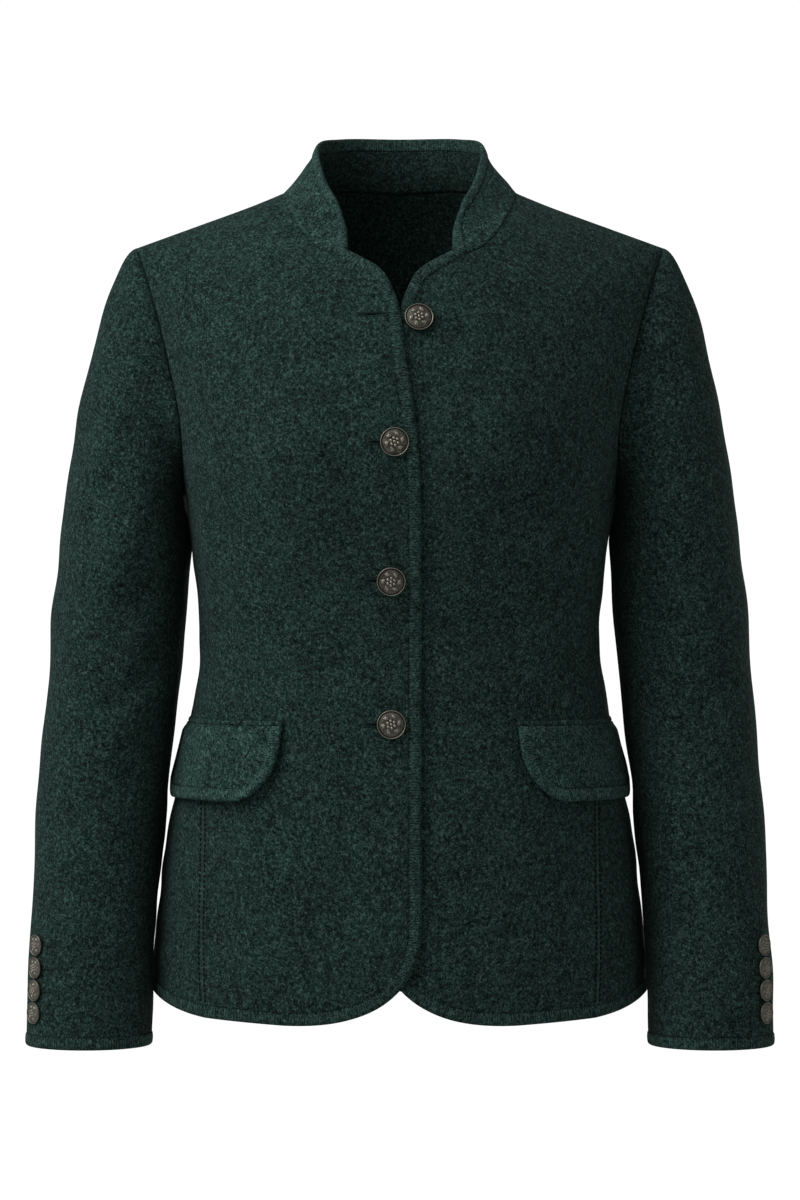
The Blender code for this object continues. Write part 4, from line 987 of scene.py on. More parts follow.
class Tree:
    """The nodes of one material."""

    def __init__(self, name):
        self.material = bpy.data.materials.new(name)
        self.material.use_nodes = True
        self.nodes, self.links = self.material.node_tree.nodes, self.material.node_tree.links
        self.shader = self.nodes["Principled BSDF"]

    def add(self, kind, settings=None, inputs=None):
        """A node of this type, its settings made first, then its sockets' values or links."""
        node = self.nodes.new(kind)
        for name, value in (settings or {}).items():
            setattr(node, name, value)
        self.feed(node, inputs or {})
        return node

    def feed(self, node, inputs):
        """Links the channels and sockets to the node's sockets, and sets the plain values there."""
        for name, value in inputs.items():
            socket = node.inputs[name]
            if isinstance(value, Channel):
                self.links.new(value.socket, socket)
            elif isinstance(value, bpy.types.NodeSocket):
                self.links.new(value, socket)
            else:
                socket.default_value = value

    def number(self, kind, settings=None, inputs=None, output=0):
        """The channel of a new node's output."""
        return Channel(self, self.add(kind, settings, inputs).outputs[output])

    def mark(self, name):
        """A number that the mesh holds for each point."""
        return self.number("ShaderNodeAttribute", {"attribute_name": name}, output="Fac")

    def mix(self, share, first, second, blend="MIX"):
        """One colour of two: sockets 6 and 7 of the node are its colours, output 2 the mixed one."""
        node = self.add("ShaderNodeMix", {"data_type": "RGBA", "blend_type": blend}, {"Factor": share})
        self.feed(node, {6: first, 7: second})
        return node.outputs[2]

    def in_millimetres(self, place):
        """A place given in metres, in millimetres."""
        return self.add("ShaderNodeMapping", None, {"Vector": place, "Scale": (1 / MM,) * 3}).outputs[0]

    def millimetres(self):
        """Object coordinates in millimetres."""
        return self.in_millimetres(self.add("ShaderNodeTexCoord").outputs["Object"])

    def cloth_place(self):
        """Distances along and across the cloth in millimetres, from the piece's own map."""
        place = self.in_millimetres(self.add("ShaderNodeUVMap", {"uv_map": "Cloth"}).outputs[0])
        apart = self.add("ShaderNodeSeparateXYZ", None, {0: place})
        return Channel(self, apart.outputs[0]), Channel(self, apart.outputs[1])

    def noise(self, place, size, detail=2.0, warp=0.0, roughness=0.5):
        """A noise whose spots are about this many millimetres across."""
        inputs = {"Vector": place, "Scale": 1 / size, "Detail": detail, "Roughness": roughness}
        return self.number("ShaderNodeTexNoise", None, {**inputs, "Distortion": warp})


def colour(value, strength=1.0):
    """The colour times this strength, as a socket takes it."""
    return (*(np.array(value) * strength), 1.0)


def brightened(tree, share, shade, strength):
    """The colour times this strength, as far as the share says."""
    return tree.mix(share, shade, colour((1, 1, 1), strength), "MULTIPLY")


# What the wool shows, in millimetres: slow mottling, blotches, spots, curling hairs with the patches where
# they lie, and flecks with their stretch and their directions about y and z, in radians.
CLOUD, BLOTCH, SPOT, HAIR, HAIR_WIDTH, HAIR_PATCH = 34, 8, 2.6, 5.2, 0.024, 9
FLECK, FLECK_STRETCH = 1.1, 3.2
FLECK_TURNS = ((-0.76, 0.35), (0.72, -0.64), (0.60, 1.13), (0.20, -0.31), (-1.35, 0.9))
# The pricks of a seam: their pitch, how far beside the seam they lie, and from where to where they fade aside.
PRICK_PITCH, PRICK_AT, PRICK_FADE = 3.6, 2.2, (0.65, 1.3)
# The band's stitches over the edge: their pitch, how they wander and the patches where they show. And the
# row of sewing along the band's border.
HATCH_PITCH, HATCH_WANDER, HATCH_DRIFT, HATCH_PATCH = 1.9, 3.2, 2.4, 3.4
SEWING_PITCH, SEWING_AT, SEWING_FADE = 3.1, BAND_WIDTH - 0.6, (0.2, 0.8)
# How much lighter painted light makes the pieces that carry it, and how much lighter the bands are on their
# faces.
PAINTED_LIGHT_GAIN, BAND_BRUSHED = 1.42, 1.22


def curling_hairs(tree, place):
    """Thin curling lines, as single fibres leave on matted wool: where a noise passes its middle value."""
    from_middle = abs(tree.noise(place, HAIR, 1.5, 2.2) - 0.5)
    return (1 - from_middle.between(0, HAIR_WIDTH)) * tree.noise(place, HAIR_PATCH, 2).between(0.46, 0.58)


def flecks(tree, place, turn):
    """Short light strokes, longer than wide, that all lie one way: where a stretched noise is high."""
    inputs = {"Vector": place, "Rotation": (0.0, *turn), "Scale": (FLECK_STRETCH, 1.0, 1.0)}
    turned = tree.add("ShaderNodeMapping", {"vector_type": "TEXTURE"}, inputs).outputs[0]
    return tree.noise(turned, FLECK, 1.5, 0.8).between(0.54, 0.70)


def matted_wool(tree, cloth, place):
    """The colour and the height of boiled wool: a dark ground with blurred spots, short light fibres that
    lie in all directions, and slow mottling."""
    cloudy = tree.noise(place, CLOUD, 3)
    blotch = tree.noise(place, BLOTCH, 2, 0.4)
    spots = tree.noise(place, SPOT, 3, 1.0, 0.62)
    hairs = curling_hairs(tree, place)
    lit = sum(flecks(tree, place, turn) for turn in FLECK_TURNS) * 0.36
    tone = spots.between(0.38, 0.62) * 0.72 + (blotch - 0.5) * 0.40 + (cloudy - 0.5) * 0.45 + lit * 0.30
    shade = tree.mix(tone.clamped(), colour(cloth.dark), colour(cloth.middle))
    pale = (lit * (0.35 + tone * 0.95) + hairs * 0.35).clamped()
    shade = tree.mix(pale, shade, colour(cloth.light))
    height = spots * 0.60 + lit * 0.5 + hairs * 0.25 + blotch * 0.35
    return shade, height


def finish_wool(tree, cloth, shade, height, relief=1.0):
    """The shader of the wool: rough, with hardly a highlight and a little light caught by its nap."""
    inputs = {"Strength": 0.9, "Distance": cloth.nap * relief, "Height": height}
    bump = tree.add("ShaderNodeBump", None, inputs)
    tree.feed(
        tree.shader,
        {
            "Base Color": shade,
            "Roughness": 0.92,
            "Specular IOR Level": 0.12,
            "Sheen Weight": 0.04,
            "Sheen Roughness": 0.6,
            "Sheen Tint": colour((0.55, 0.75, 0.70)),
            "Normal": bump.outputs[0],
        },
    )
    return tree.material


def loden(cloth):
    """Boiled wool of the panels. Painted shade darkens it in a seam's groove, where the arm and the body come
    close, along the welt's top edge and on the inner face, and a row of small pricks runs beside the seam.
    Painted light makes the collar, the flaps and the welts lighter.
    """
    tree = Tree("loden")
    shade, height = matted_wool(tree, cloth, tree.millimetres())
    distance, stitched, inside = tree.mark("seam"), tree.mark("stitched"), tree.mark("inside")
    groove = (1 - distance.between(0.2, 1.3)) * tree.mark("sunk")
    beside = 1 - abs(distance - PRICK_AT).between(*PRICK_FADE)
    along = (tree.mark("run") * (2 * math.pi / PRICK_PITCH)).sine().between(-0.4, 0.3) * 0.8 + 0.2
    prick = beside * along * stitched
    # Painted shade in the seam's groove, as strong as the seam is sunk.
    shade = tree.mix(groove * 0.45, shade, colour(cloth.dark, 0.5))
    shade = tree.mix((1 - distance.between(0.7, 1.5)) * stitched * 0.20, shade, colour(cloth.light))
    shade = tree.mix(prick * 0.95, shade, colour(cloth.dark, 0.4))
    # Painted shade where the arm and the body come close, and along the welt's top edge.
    shade = tree.mix(tree.mark("hollow") * 0.9, shade, colour(cloth.dark, 0.4))
    # Painted shade on the inner face of the cloth.
    shade = tree.mix(inside * 0.24, shade, colour(cloth.dark, 0.8))
    # Painted light: the collar, the flaps and the welts are lighter on the outside.
    shade = brightened(tree, tree.mark("brushed") * (1 - inside), shade, PAINTED_LIGHT_GAIN)
    return finish_wool(tree, cloth, shade, height - groove * 1.4 - prick * 1.2)


def loden_band(cloth):
    """The bands: the same wool, made a little lighter by brushing, felted over with close stitches that lie
    square to the edge, and a row of stitching along the inner border. The bands of the collar and the flaps
    get painted light, and the inner face gets painted shade."""
    tree = Tree("loden_band")
    place = tree.millimetres()
    shade, height = matted_wool(tree, cloth, place)
    along, across = tree.cloth_place()
    wander = (tree.noise(place, HATCH_WANDER, 2) - 0.5) * HATCH_DRIFT
    stroke = ((along + wander) * (2 * math.pi / HATCH_PITCH)).sine() * 0.5 + 0.5
    patchy = tree.noise(place, HATCH_PATCH, 2).between(0.36, 0.58)
    on_face = abs(across).between(0.8, 3.6) * 0.65 + 0.35
    hatch = stroke.between(0.40, 0.95) * patchy * on_face
    shade = tree.mix(hatch * 0.42, shade, colour(cloth.light, 0.80))
    shade = tree.mix((1 - stroke).between(0.5, 1.0) * on_face * 0.30, shade, colour(cloth.dark))
    shade = brightened(tree, on_face, shade, BAND_BRUSHED)
    # Painted light on the bands of the collar and the flaps.
    shade = brightened(tree, tree.mark("brushed"), shade, PAINTED_LIGHT_GAIN)
    pricks = (along * (2 * math.pi / SEWING_PITCH) + wander * 0.4).sine().between(-0.1, 0.8) * 0.85
    sewing = (1 - abs(across - SEWING_AT).between(*SEWING_FADE)) * pricks
    shade = tree.mix(sewing * 0.6, shade, colour(cloth.dark, 0.6))
    # Painted shade on the band's inner face.
    under = across.between(0.5, -2.0)
    shade = tree.mix(under * 0.14, shade, colour(cloth.dark, 0.8))
    return finish_wool(tree, cloth, shade, height + hatch * 0.6 - sewing * 1.5)


def sewing_thread(cloth):
    """The thread of buttonholes: twisted, a little glossier than the wool."""
    tree = Tree("sewing_thread")
    place = tree.millimetres()
    twist = tree.noise(place, 0.5, 2)
    shade = tree.mix(twist, colour(cloth.thread, 0.55), colour(cloth.thread, 1.1))
    return finish_wool(tree, cloth, shade, twist, 0.3)


def old_silver(buttons):
    """Worn pewter: bright on what stands out, brown-black in the hollows, finely scratched and pitted."""
    tree = Tree("old_silver")
    place = tree.millimetres()
    pits = tree.noise(place, 0.9, 4, 0.5, 0.65)
    stains = tree.noise(place, 3.2, 3)
    worn = (tree.mark("raised") + (pits - 0.5) * 0.50 + (stains - 0.5) * 0.35).between(0.10, 0.80)
    shade = tree.mix(worn, colour(buttons.patina), colour(buttons.metal))
    bump = tree.add("ShaderNodeBump", None, {"Strength": 0.5, "Distance": 0.06 * MM, "Height": pits})
    looks = {"Base Color": shade, "Metallic": 0.92, "Roughness": 0.62 - worn * 0.24}
    tree.feed(tree.shader, {**looks, "Normal": bump.outputs[0]})
    return tree.material


def pale_paint(name, value):
    """The floor's paint: matt, and very slightly cloudy."""
    tree = Tree(name)
    place = tree.add("ShaderNodeTexCoord").outputs["Object"]
    cloudy = tree.number("ShaderNodeTexNoise", None, {"Vector": place, "Scale": 1.5, "Detail": 3.0})
    shade = tree.mix(cloudy, colour((1, 1, 1), value), colour((1, 1, 1), value * 0.985))
    tree.feed(tree.shader, {"Base Color": shade, "Roughness": 0.9, "Specular IOR Level": 0.1})
    return tree.material


def shared(name, make, settings):
    """The material of this name, made on its first use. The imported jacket's own ones keep theirs."""
    key = f"jacket_{name}"
    found = bpy.data.materials.get(key)
    if found is None:
        found = make(settings)
        found.name = key
    return found


# --- Pieces of the body ---


def walls_of(place, lift, seamed, banded, mirror=False):
    """Outer and inner wall of a panel: place(lift) gives its points, seamed is how far it rolls in at its
    seams, and banded how much thinner it is inside a band."""
    outer = place(lift + seamed - banded)
    inner = place(lift - CLOTH - 0.4 * np.minimum(seamed, 0) + banded)
    return inset(outer, mirror), inset(inner, mirror)


def panel(cloth, side, chart, banded, seams, lap=0.0, relief=None, mirror=False):
    """Both walls of one cut piece of the body, with its relief, and its marks: the way to the nearest seam
    and along it, how sunk and stitched the seams are, which they are below the pockets, and the painted
    shade where the sleeve comes close to the cloth."""
    base, level = body(side, chart, 0, lap), chart[..., 1]
    in_band, _ = border_distance(base, banded)
    seam, run = border_distance(base, seams)
    if relief is None:
        relief = body_relief(cloth, side, chart, base)
    relief = relief * clear_of(np.minimum(seam, in_band), SEAM_CLEAR)

    def place(lift):
        return body(side, chart, lift, lap)

    rolled = seam_roll(cloth, seam, run, seam_share(level))
    outer, inner = walls_of(place, relief, rolled, tongue(in_band), mirror)
    stitched = 1 - ease((level - STITCHED_BELOW) / 0.03)
    marked = {"seam": seam, "run": run, "sunk": seam_share(level), "stitched": stitched}
    return outer, inner, {**marked, "hollow": painted_shade_at_body(base)}


def front_chart(fine):
    """The front on the chart, from its free edge to the side seam and the armhole, inside its band."""
    columns = LAPEL_COLUMNS + FRONT_NECK_COLUMNS + SHOULDER_COLUMNS
    u, v = marks(columns, fine), marks(SEAM_DIVISIONS + ARMHOLE_DIVISIONS, fine + 1, ROW_ENDS)
    outer = side_line("front", -1, v)
    top = join(
        u,
        (LAPEL_COLUMNS, lambda t: edge_chart(at(t, EDGE_TOP), INWARDS)),
        (FRONT_NECK_COLUMNS, lambda t: neck_chart(at(t, FRONT_NECK), 0)),
        (SHOULDER_COLUMNS, lambda t: shoulder_line(neck_chart(FRONT_NECK[-1], 0)[0], outer[-1][0], t)),
    )
    bottom = edge_chart(at(u, EDGE_BOTTOM), INWARDS)
    bottom[-1] = outer[0]
    return patch(bottom, top, edge_chart(at(v, EDGE_SIDE), INWARDS), outer, u, v)


def side_chart(fine):
    """The side panel on the chart, from the hem up to the armhole's lower edge."""
    v, u = marks(SEAM_DIVISIONS, fine + 1, ROW_ENDS), marks(SIDE_DIVISIONS, fine)
    front, back = side_line("front", -1, v), side_line("back", 1, v)
    girth = front[0][0] + (back[0][0] - front[0][0]) * u / u[-1]
    bottom = np.stack([girth, hem_level(girth, INWARDS)], axis=1)
    girth = front[-1][0] + (back[-1][0] - front[-1][0]) * u / u[-1]
    top = np.stack([girth, armhole_level(girth)], axis=1)
    front[0], back[0], front[-1], back[-1] = bottom[0], bottom[-1], top[0], top[-1]
    return patch(bottom, top, front, back, u, v)


def back_chart(fine):
    """The left half of the back on the chart, from the side seam and the armhole to the centre."""
    columns = SHOULDER_COLUMNS + BACK_NECK_COLUMNS
    u, v = marks(columns, fine), marks(SEAM_DIVISIONS + ARMHOLE_DIVISIONS, fine + 1, ROW_ENDS)
    outer = side_line("back", 1, v)
    girth = outer[0][0] + (math.pi - outer[0][0]) * u / columns
    bottom = np.stack([girth, hem_level(girth, INWARDS)], axis=1)
    neck_girth = neck_chart(BACK_NECK[0], 1)[0]
    top = join(
        u,
        (SHOULDER_COLUMNS, lambda t: shoulder_line(outer[-1][0], neck_girth, t)),
        (BACK_NECK_COLUMNS, lambda t: neck_chart(at(t, BACK_NECK), 1)),
    )
    level = bottom[-1][1] + (top[-1][1] - bottom[-1][1]) * v / v[-1]
    centre = np.stack([np.full_like(level, math.pi), level], axis=1)
    return patch(bottom, top, outer, centre, u, v)


class JACKET_OT_fronts(bpy.types.Operator):
    """Make both fronts. The wearer's right one laps over the left one and has the buttonholes"""

    bl_idname = "jacket.fronts"
    bl_label = "Fronts"

    def execute(self, context):
        cloth = context.scene.jacket_cloth
        chart = front_chart(cloth.fineness)
        lapel = int(np.searchsorted(marks(LAPEL_COLUMNS + 1, cloth.fineness), LAPEL_COLUMNS))
        banded = ("start", "bottom", ("top", 0, lapel))
        seams = ("end", ("top", lapel + 1, chart.shape[1]))
        for side, name, lap in ((-1, "front_right", LAP), (1, "front_left", -LAP)):
            made = cloth_shell(cloth, name, *panel(cloth, side, chart, banded, seams, lap))
            if side < 0:
                cut_buttonholes(made)
            declare_cloth(made, name, FRONT_CUT, FRONT_AREA)
        return {"FINISHED"}


class JACKET_OT_side_panels(bpy.types.Operator):
    """Make the side panels, which run from the hem up to the armholes"""

    bl_idname = "jacket.side_panels"
    bl_label = "Side panels"

    def execute(self, context):
        cloth = context.scene.jacket_cloth
        chart = side_chart(cloth.fineness)
        for side, name in ((-1, "side_panel_right"), (1, "side_panel_left")):
            walls = panel(cloth, side, chart, ("bottom",), ("start", "end", "top"))
            declare_cloth(cloth_shell(cloth, name, *walls), name, SIDE_CUT, SIDE_AREA)
        return {"FINISHED"}


class JACKET_OT_back(bpy.types.Operator):
    """Make the back, cut in one piece"""

    bl_idname = "jacket.back"
    bl_label = "Back"

    def execute(self, context):
        cloth = context.scene.jacket_cloth
        chart = back_chart(cloth.fineness)
        near = ease(1 - np.linspace(0, 1, chart.shape[1])[::-1] / CENTRE_BLEND)
        left, right = (body_relief(cloth, side, chart, body(side, chart)) for side in (1, -1))
        meeting = (left + right) / 2
        halves = []
        for side, relief, order in ((1, left, slice(None)), (-1, right, slice(-2, None, -1))):
            relief = relief * (1 - near) + meeting * near
            outer, inner, marked = panel(
                cloth, side, chart, ("bottom",), ("start", "top"), relief=relief, mirror=True
            )
            halves.append([grid[:, order] for grid in (outer, inner, *marked.values())])
        outer, inner, *values = (np.concatenate(pair, axis=1) for pair in zip(*halves))
        made = cloth_shell(cloth, "back", outer, inner, dict(zip(marked, values)))
        declare_cloth(made, "back", BACK_CUT, BACK_AREA)
        return {"FINISHED"}


# --- Collar ---


def collar(along, up, lift=0.0):
    """Points of the collar's outer surface: along from the front end to the centre back, up from the
    neckline. It is ruled between the neckline and the free edge, and bows out by a parabola."""

    def surface(along, up):
        base = np.stack([np.interp(along, NECK_ALONG, column) for column in NECK_POINTS.T], axis=-1)
        places = [smooth(along, COLLAR["along"], COLLAR[name]) for name in COLLAR_COLUMNS[1:]]
        free = np.stack(places, axis=-1)
        points = base + (free - base) * up[..., None]
        bow = COLLAR_BOW * 4 * up * (1 - up)
        points[..., :2] *= (1 - bow / np.linalg.norm(points[..., :2], axis=-1))[..., None]
        return points

    step = 1e-3
    around = surface(np.minimum(along + step, 1), up) - surface(np.maximum(along - step, 0), up)
    upward = surface(along, up + step) - surface(along, up - step)
    return surface(along, up) + unit(np.cross(around, upward)) * np.asarray(lift)[..., None]


def collar_edge(distance, fine):
    """The collar's free edge as (along, up) shares, from the front end's foot round its corner to the
    centre back, at this distance into the cloth."""
    turn = np.linspace(0, math.pi / 2, COLLAR_TURNS * fine + 1)
    radius = COLLAR_CORNER - distance
    along = COLLAR_CORNER - radius * np.cos(turn)
    up = COLLAR_HEIGHT - COLLAR_CORNER + radius * np.sin(turn)
    rest = np.append(FRONT_NECK[COLLAR_TURNS // 2 + 1 :], BACK_NECK[1:]) * COLLAR_LENGTH
    rest = refine(np.append(along[-1], rest), fine)[1:]
    foot = np.linspace(0, up[0], fine + 1)[:-1]
    along = np.concatenate([np.full(fine, distance), along, rest])
    up = np.concatenate([foot, up, np.full(len(rest), COLLAR_HEIGHT - distance)])
    return np.stack([along / COLLAR_LENGTH, up / COLLAR_HEIGHT], axis=1)


def collar_grid(fine):
    """The left half of the collar inside its band: a grid of (along, up) shares, and those along its foot."""
    edge = collar_edge(INWARDS, fine)
    middle = (COLLAR_TURNS // 2 + 1) * fine
    base = refine(np.append(FRONT_NECK, BACK_NECK[1:]), fine)
    foot = np.stack([base, np.zeros_like(base)], axis=1)
    top, start = edge[middle:], edge[: middle + 1]
    end = np.stack([np.ones(len(start)), np.linspace(0, top[-1][1], len(start))], axis=1)
    foot[0] = start[0]
    rise, ahead = (COLLAR_HEIGHT - INWARDS) / (len(start) - 1), COLLAR_LENGTH * base[1]
    close = TUCK + np.array([0.12, 0.55])
    rows = np.sort(np.append(np.arange(len(start)), len(start) - 1 - close / rise))
    columns = np.sort(np.append(np.arange(len(foot)), close / ahead))
    foot, top = along_line(columns, foot), along_line(columns, top)
    start, end = along_line(rows, start), along_line(rows, end)
    return patch(foot, top, start, end, columns / columns[-1], rows / rows[-1]), at(columns, base)


class JACKET_OT_collar(bpy.types.Operator):
    """Make the stand collar in one piece"""

    bl_idname = "jacket.collar"
    bl_label = "Stand collar"

    def execute(self, context):
        cloth = context.scene.jacket_cloth
        grid, base = collar_grid(cloth.fineness)
        half = grid.shape[1]
        neck = np.where((base <= NECK_POINT)[:, None], neck_chart(base, 0), neck_chart(base, 1))

        def place(lift):
            left = collar(grid[..., 0], grid[..., 1], lift[:, :half])
            right = collar(grid[:, -2::-1, 0], grid[:, -2::-1, 1], lift[:, half:]) * (-1, 1, 1)
            left[0] = body(1, neck, lift[0, :half])
            right[0] = body(-1, neck[-2::-1], lift[0, half:])
            return np.concatenate([left, right], axis=1)

        plain = mirrored(np.swapaxes(collar(grid[..., 0], grid[..., 1]), 0, 1)).swapaxes(0, 1)
        in_band, _ = border_distance(plain, ("top", "start", "end"))
        seam, run = border_distance(plain, ("bottom",))
        clear = clear_of(np.minimum(seam, in_band), COLLAR_CLEAR)
        relief = slow_waves(plain, COLLAR_WAVES) * cloth.unevenness / MM * clear * 1.3
        walls = walls_of(place, relief, seam_roll(cloth, seam, run, SOFT_SEAM), tongue(in_band))
        # The collar's seam groove gets a share of 0.25 of the painted shade, and the whole collar gets painted
        # light.
        sunk, brushed = np.full_like(seam, 0.25), np.full_like(seam, 0.8)
        marked = {"seam": seam, "run": run, "sunk": sunk, "brushed": brushed}
        declare_cloth(cloth_shell(cloth, "collar", *walls, marked), "collar", COLLAR_CUT)
        return {"FINISHED"}


# --- Bands ---

BAND_REACH, BAND_STEPS = 2.3, 5  # how far in from the edge the fold is round, and its divisions on each face
BAND_FACE = np.array([0.0, 0.35, 0.9, 2.2, 4.0])  # the divisions of the flat of each face, from its border
BORDER_WIDTH, BORDER_DROP = 0.9, 0.35  # the border bends down to the cloth


def band_section():
    """The section of a band, which is a strip folded over the edge: (distance into the cloth, lift) of its
    outer wall and of its inner wall, from the border on the outer face round the edge to the border on the
    inner face. The outer face is crowned like half a sine wave."""
    walls = []
    turn = np.linspace(0, math.pi, 2 * BAND_STEPS + 1)
    for depth in (0.0, BAND_CLOTH):
        top, bottom = BAND_RISE - depth, -CLOTH - BAND_RISE + depth
        middle, half = (top + bottom) / 2, (top - bottom) / 2
        reach = BAND_REACH - depth
        fold = np.stack([depth + reach * (1 - np.sin(turn) ** 0.8), middle + half * np.cos(turn)], axis=1)
        bend = np.clip(1 - BAND_FACE / BORDER_WIDTH, 0, 1) ** 2 * (0 if depth else BORDER_DROP)
        over = np.stack([BAND_WIDTH - BAND_FACE, top - bend], axis=1)
        under = np.stack([BAND_WIDTH - BAND_FACE, bottom + bend], axis=1)[::-1]
        wall = np.concatenate([over, fold, under])
        outside = np.clip((wall[:, 1] - middle) / half, 0, 1)
        wall[:, 1] += BAND_CROWN * outside * np.sin(math.pi * np.clip(wall[:, 0] / BAND_WIDTH, 0, 1))
        walls.append(wall)
    return walls


def band(place, along):
    """The walls of a band and its map. place(distance, lift) gives its points at every place along the
    edge. On the map the inner face has negative distances across."""
    sections = band_section()
    outer, inner = (np.stack([place(distance, lift) for distance, lift in wall], axis=1) for wall in sections)
    distance = sections[0][:, 0]
    face = np.where(np.arange(len(distance)) < len(distance) / 2, 1, -1)
    return outer, inner, np.stack(np.broadcast_arrays(along[:, None], face * distance), axis=-1)


def make_band(context, node, place, along=None, closed=False, brushed=0.0):
    """Makes a band as its own piece. A closed one runs all round, so its last section lies on its first."""
    material = shared("loden_band", loden_band, context.scene.jacket_cloth)
    outer, inner, uv = band(place, lengths(place(0, 0)) if along is None else along)
    if closed:
        walls, uv = [np.swapaxes(wall[:-1], 0, 1) for wall in (outer, inner)], np.swapaxes(uv, 0, 1)
    else:
        walls = outer, inner = inset(outer, ends_only=True), inset(inner, ends_only=True)
    # Painted light on the band, as much as is asked for.
    marked = {"brushed": np.full(walls[0].shape[:2], brushed)}
    made = shell(f"{node}_strip", *walls, material, uv, marked, closed)
    length = float(lengths(outer[:, outer.shape[1] // 2])[-1])
    declare_cloth(made, node, (STRIP_WIDTH, length))


class JACKET_OT_bands(bpy.types.Operator):
    """Make the bands of the fronts, the hem, the collar and the cuffs"""

    bl_idname = "jacket.bands"
    bl_label = "Edge bands"

    def execute(self, context):
        fine = max(3, context.scene.jacket_cloth.fineness)
        along = refine(np.concatenate([EDGE_TOP[::-1], EDGE_SIDE[-2::-1], EDGE_BOTTOM[1:]]), fine)
        for name, side, lap in (("front_band_right", -1, LAP), ("front_band_left", 1, -LAP)):

            def front_place(distance, lift):
                return body(side, edge_chart(along, distance), lift, lap)

            make_band(context, name, front_place, along * lengths(EDGE_POINTS)[-1])

        front, back = SIDE_SEAM["front"][0], SIDE_SEAM["back"][0]
        behind = np.linspace(back, math.pi, (SHOULDER_COLUMNS + BACK_NECK_COLUMNS) * fine + 1)
        girth = np.append(np.linspace(front, back, SIDE_DIVISIONS * fine + 1), behind[1:])

        def hem_place(distance, lift):
            chart = np.stack([girth, hem_level(girth, distance)], axis=1)
            chart[0] = edge_chart(1.0, distance)
            return mirrored(body(1, chart, lift))

        make_band(context, "hem_band", hem_place)

        def collar_place(distance, lift):
            """The inner face starts a little up the collar, clear of the thickness of the fronts."""
            edge = collar_edge(distance, fine)
            edge[0, 1] += COLLAR_MITRE * max(-lift, 0) / COLLAR_HEIGHT
            return mirrored(collar(edge[:, 0], edge[:, 1], lift))

        # The collar's band gets painted light.
        make_band(context, "collar_band", collar_place, brushed=0.7)

        index = np.linspace(0, LOOP_COUNT, LOOP_COUNT * fine + 1)
        for side, name in ((-1, "cuff_band_right"), (1, "cuff_band_left")):

            def cuff_place(distance, lift):
                points, out = ring(SLEEVE["height"][0] + distance, index)
                return (points + out * lift) * (side, 1, 1)

            make_band(context, name, cuff_place, closed=True)
        return {"FINISHED"}


# --- Sleeves ---

LOOP_COUNT = SIDE_DIVISIONS + 2 * ARMHOLE_DIVISIONS
LOOP_MARKS = (0, SIDE_DIVISIONS / 2, SIDE_DIVISIONS, SIDE_DIVISIONS + ARMHOLE_DIVISIONS, LOOP_COUNT)
LOOP_ANGLES = np.radians((CAP_SEAM, 180, 360 - CAP_SEAM, 360, 360 + CAP_SEAM))


def armhole_loop(index):
    """The armhole's edge on the chart: from the front seam under the arm, up the back, and down the front."""
    wide = armhole_angle(0.0)
    under = math.pi / 2 - wide + 2 * wide * np.clip(index / SIDE_DIVISIONS, 0, 1)
    under = np.stack([under, armhole_level(under)], axis=1)
    knots = np.linspace(0, 1, ARMHOLE_DIVISIONS + 1)
    up = at(np.clip(index - SIDE_DIVISIONS, 0, ARMHOLE_DIVISIONS), knots)
    down = at(np.clip(LOOP_COUNT - index, 0, ARMHOLE_DIVISIONS), knots)
    back = np.stack([math.pi / 2 + armhole_angle(up), up], axis=1)
    front = np.stack([math.pi / 2 - armhole_angle(down), down], axis=1)
    tip = SIDE_DIVISIONS + ARMHOLE_DIVISIONS
    place = index[:, None]
    return np.where(place <= SIDE_DIVISIONS, under, np.where(place <= tip, back, front))


def ring(height, index):
    """The sleeve's round section at this height, with a point for each place of the armhole. Towards the
    cuff the points near the hind seam turn forward, and the seam with them."""
    angle = np.interp(index, LOOP_MARKS, LOOP_ANGLES)
    down = ease((CAP_END - height) / (CAP_END - SLEEVE["height"][0]))
    near_seam = np.interp(index, (0, HIND_SEAM, LOOP_COUNT), (0, 1, 0))
    return sleeve_point(angle + near_seam * CUFF_TWIST * down, height)


def sleeve_point(angle, height):
    """Points of the sleeve's oval section, and the ways out. Angle 0 is outermost, and 90 degrees in front."""
    size = sizes_at(height, SLEEVE)
    across = size["across"] + size["half_width"] * np.cos(angle)
    depth = size["depth"] - size["half_depth"] * np.sin(angle)
    out = np.stack([np.cos(angle) / size["half_width"], -np.sin(angle) / size["half_depth"], 0 * angle], -1)
    return np.stack([across, depth, np.full_like(across, height)], axis=-1), unit(out)


def sleeve_surface(index, lower_rows):
    """The sleeve's outer surface: a cubic from the armhole's edge over the cap to the first full ring, then
    rings down to the cuff."""
    edge, (first, _) = body(1, armhole_loop(index)), ring(CAP_END, index)
    below, _ = ring(CAP_END - 1.0, index)
    angle = np.interp(index, LOOP_MARKS, LOOP_ANGLES)
    across, drop = (start + change * np.cos(angle) for start, change in (CAP_ACROSS, CAP_DROP))
    leaving = np.stack([across, -CAP_BULGE * np.sin(angle), drop], axis=1)
    arriving = (below - first) * np.linalg.norm(first - edge, axis=1, keepdims=True)
    cap = cubic(CAP_ROWS[:, None, None], edge + unit(leaving) * CAP_GAP, first, leaving, arriving)
    lowest = SLEEVE["height"][0] + INWARDS
    rings = [ring(CAP_END + (lowest - CAP_END) * share, index)[0] for share in lower_rows[1:]]
    return np.concatenate([cap, rings])


def closed_normals(grid):
    """Ways out of a grid whose last column lies on its first."""
    down = np.gradient(grid, axis=0)
    inner = grid[:, :-1]
    around = np.roll(inner, -1, axis=1) - np.roll(inner, 1, axis=1)
    normals = unit(np.cross(around, down[:, :-1]))
    for _ in range(3):
        normals = unit(np.roll(normals, 1, axis=1) + 2 * normals + np.roll(normals, -1, axis=1))
    return np.concatenate([normals, normals[:, :1]], axis=1)


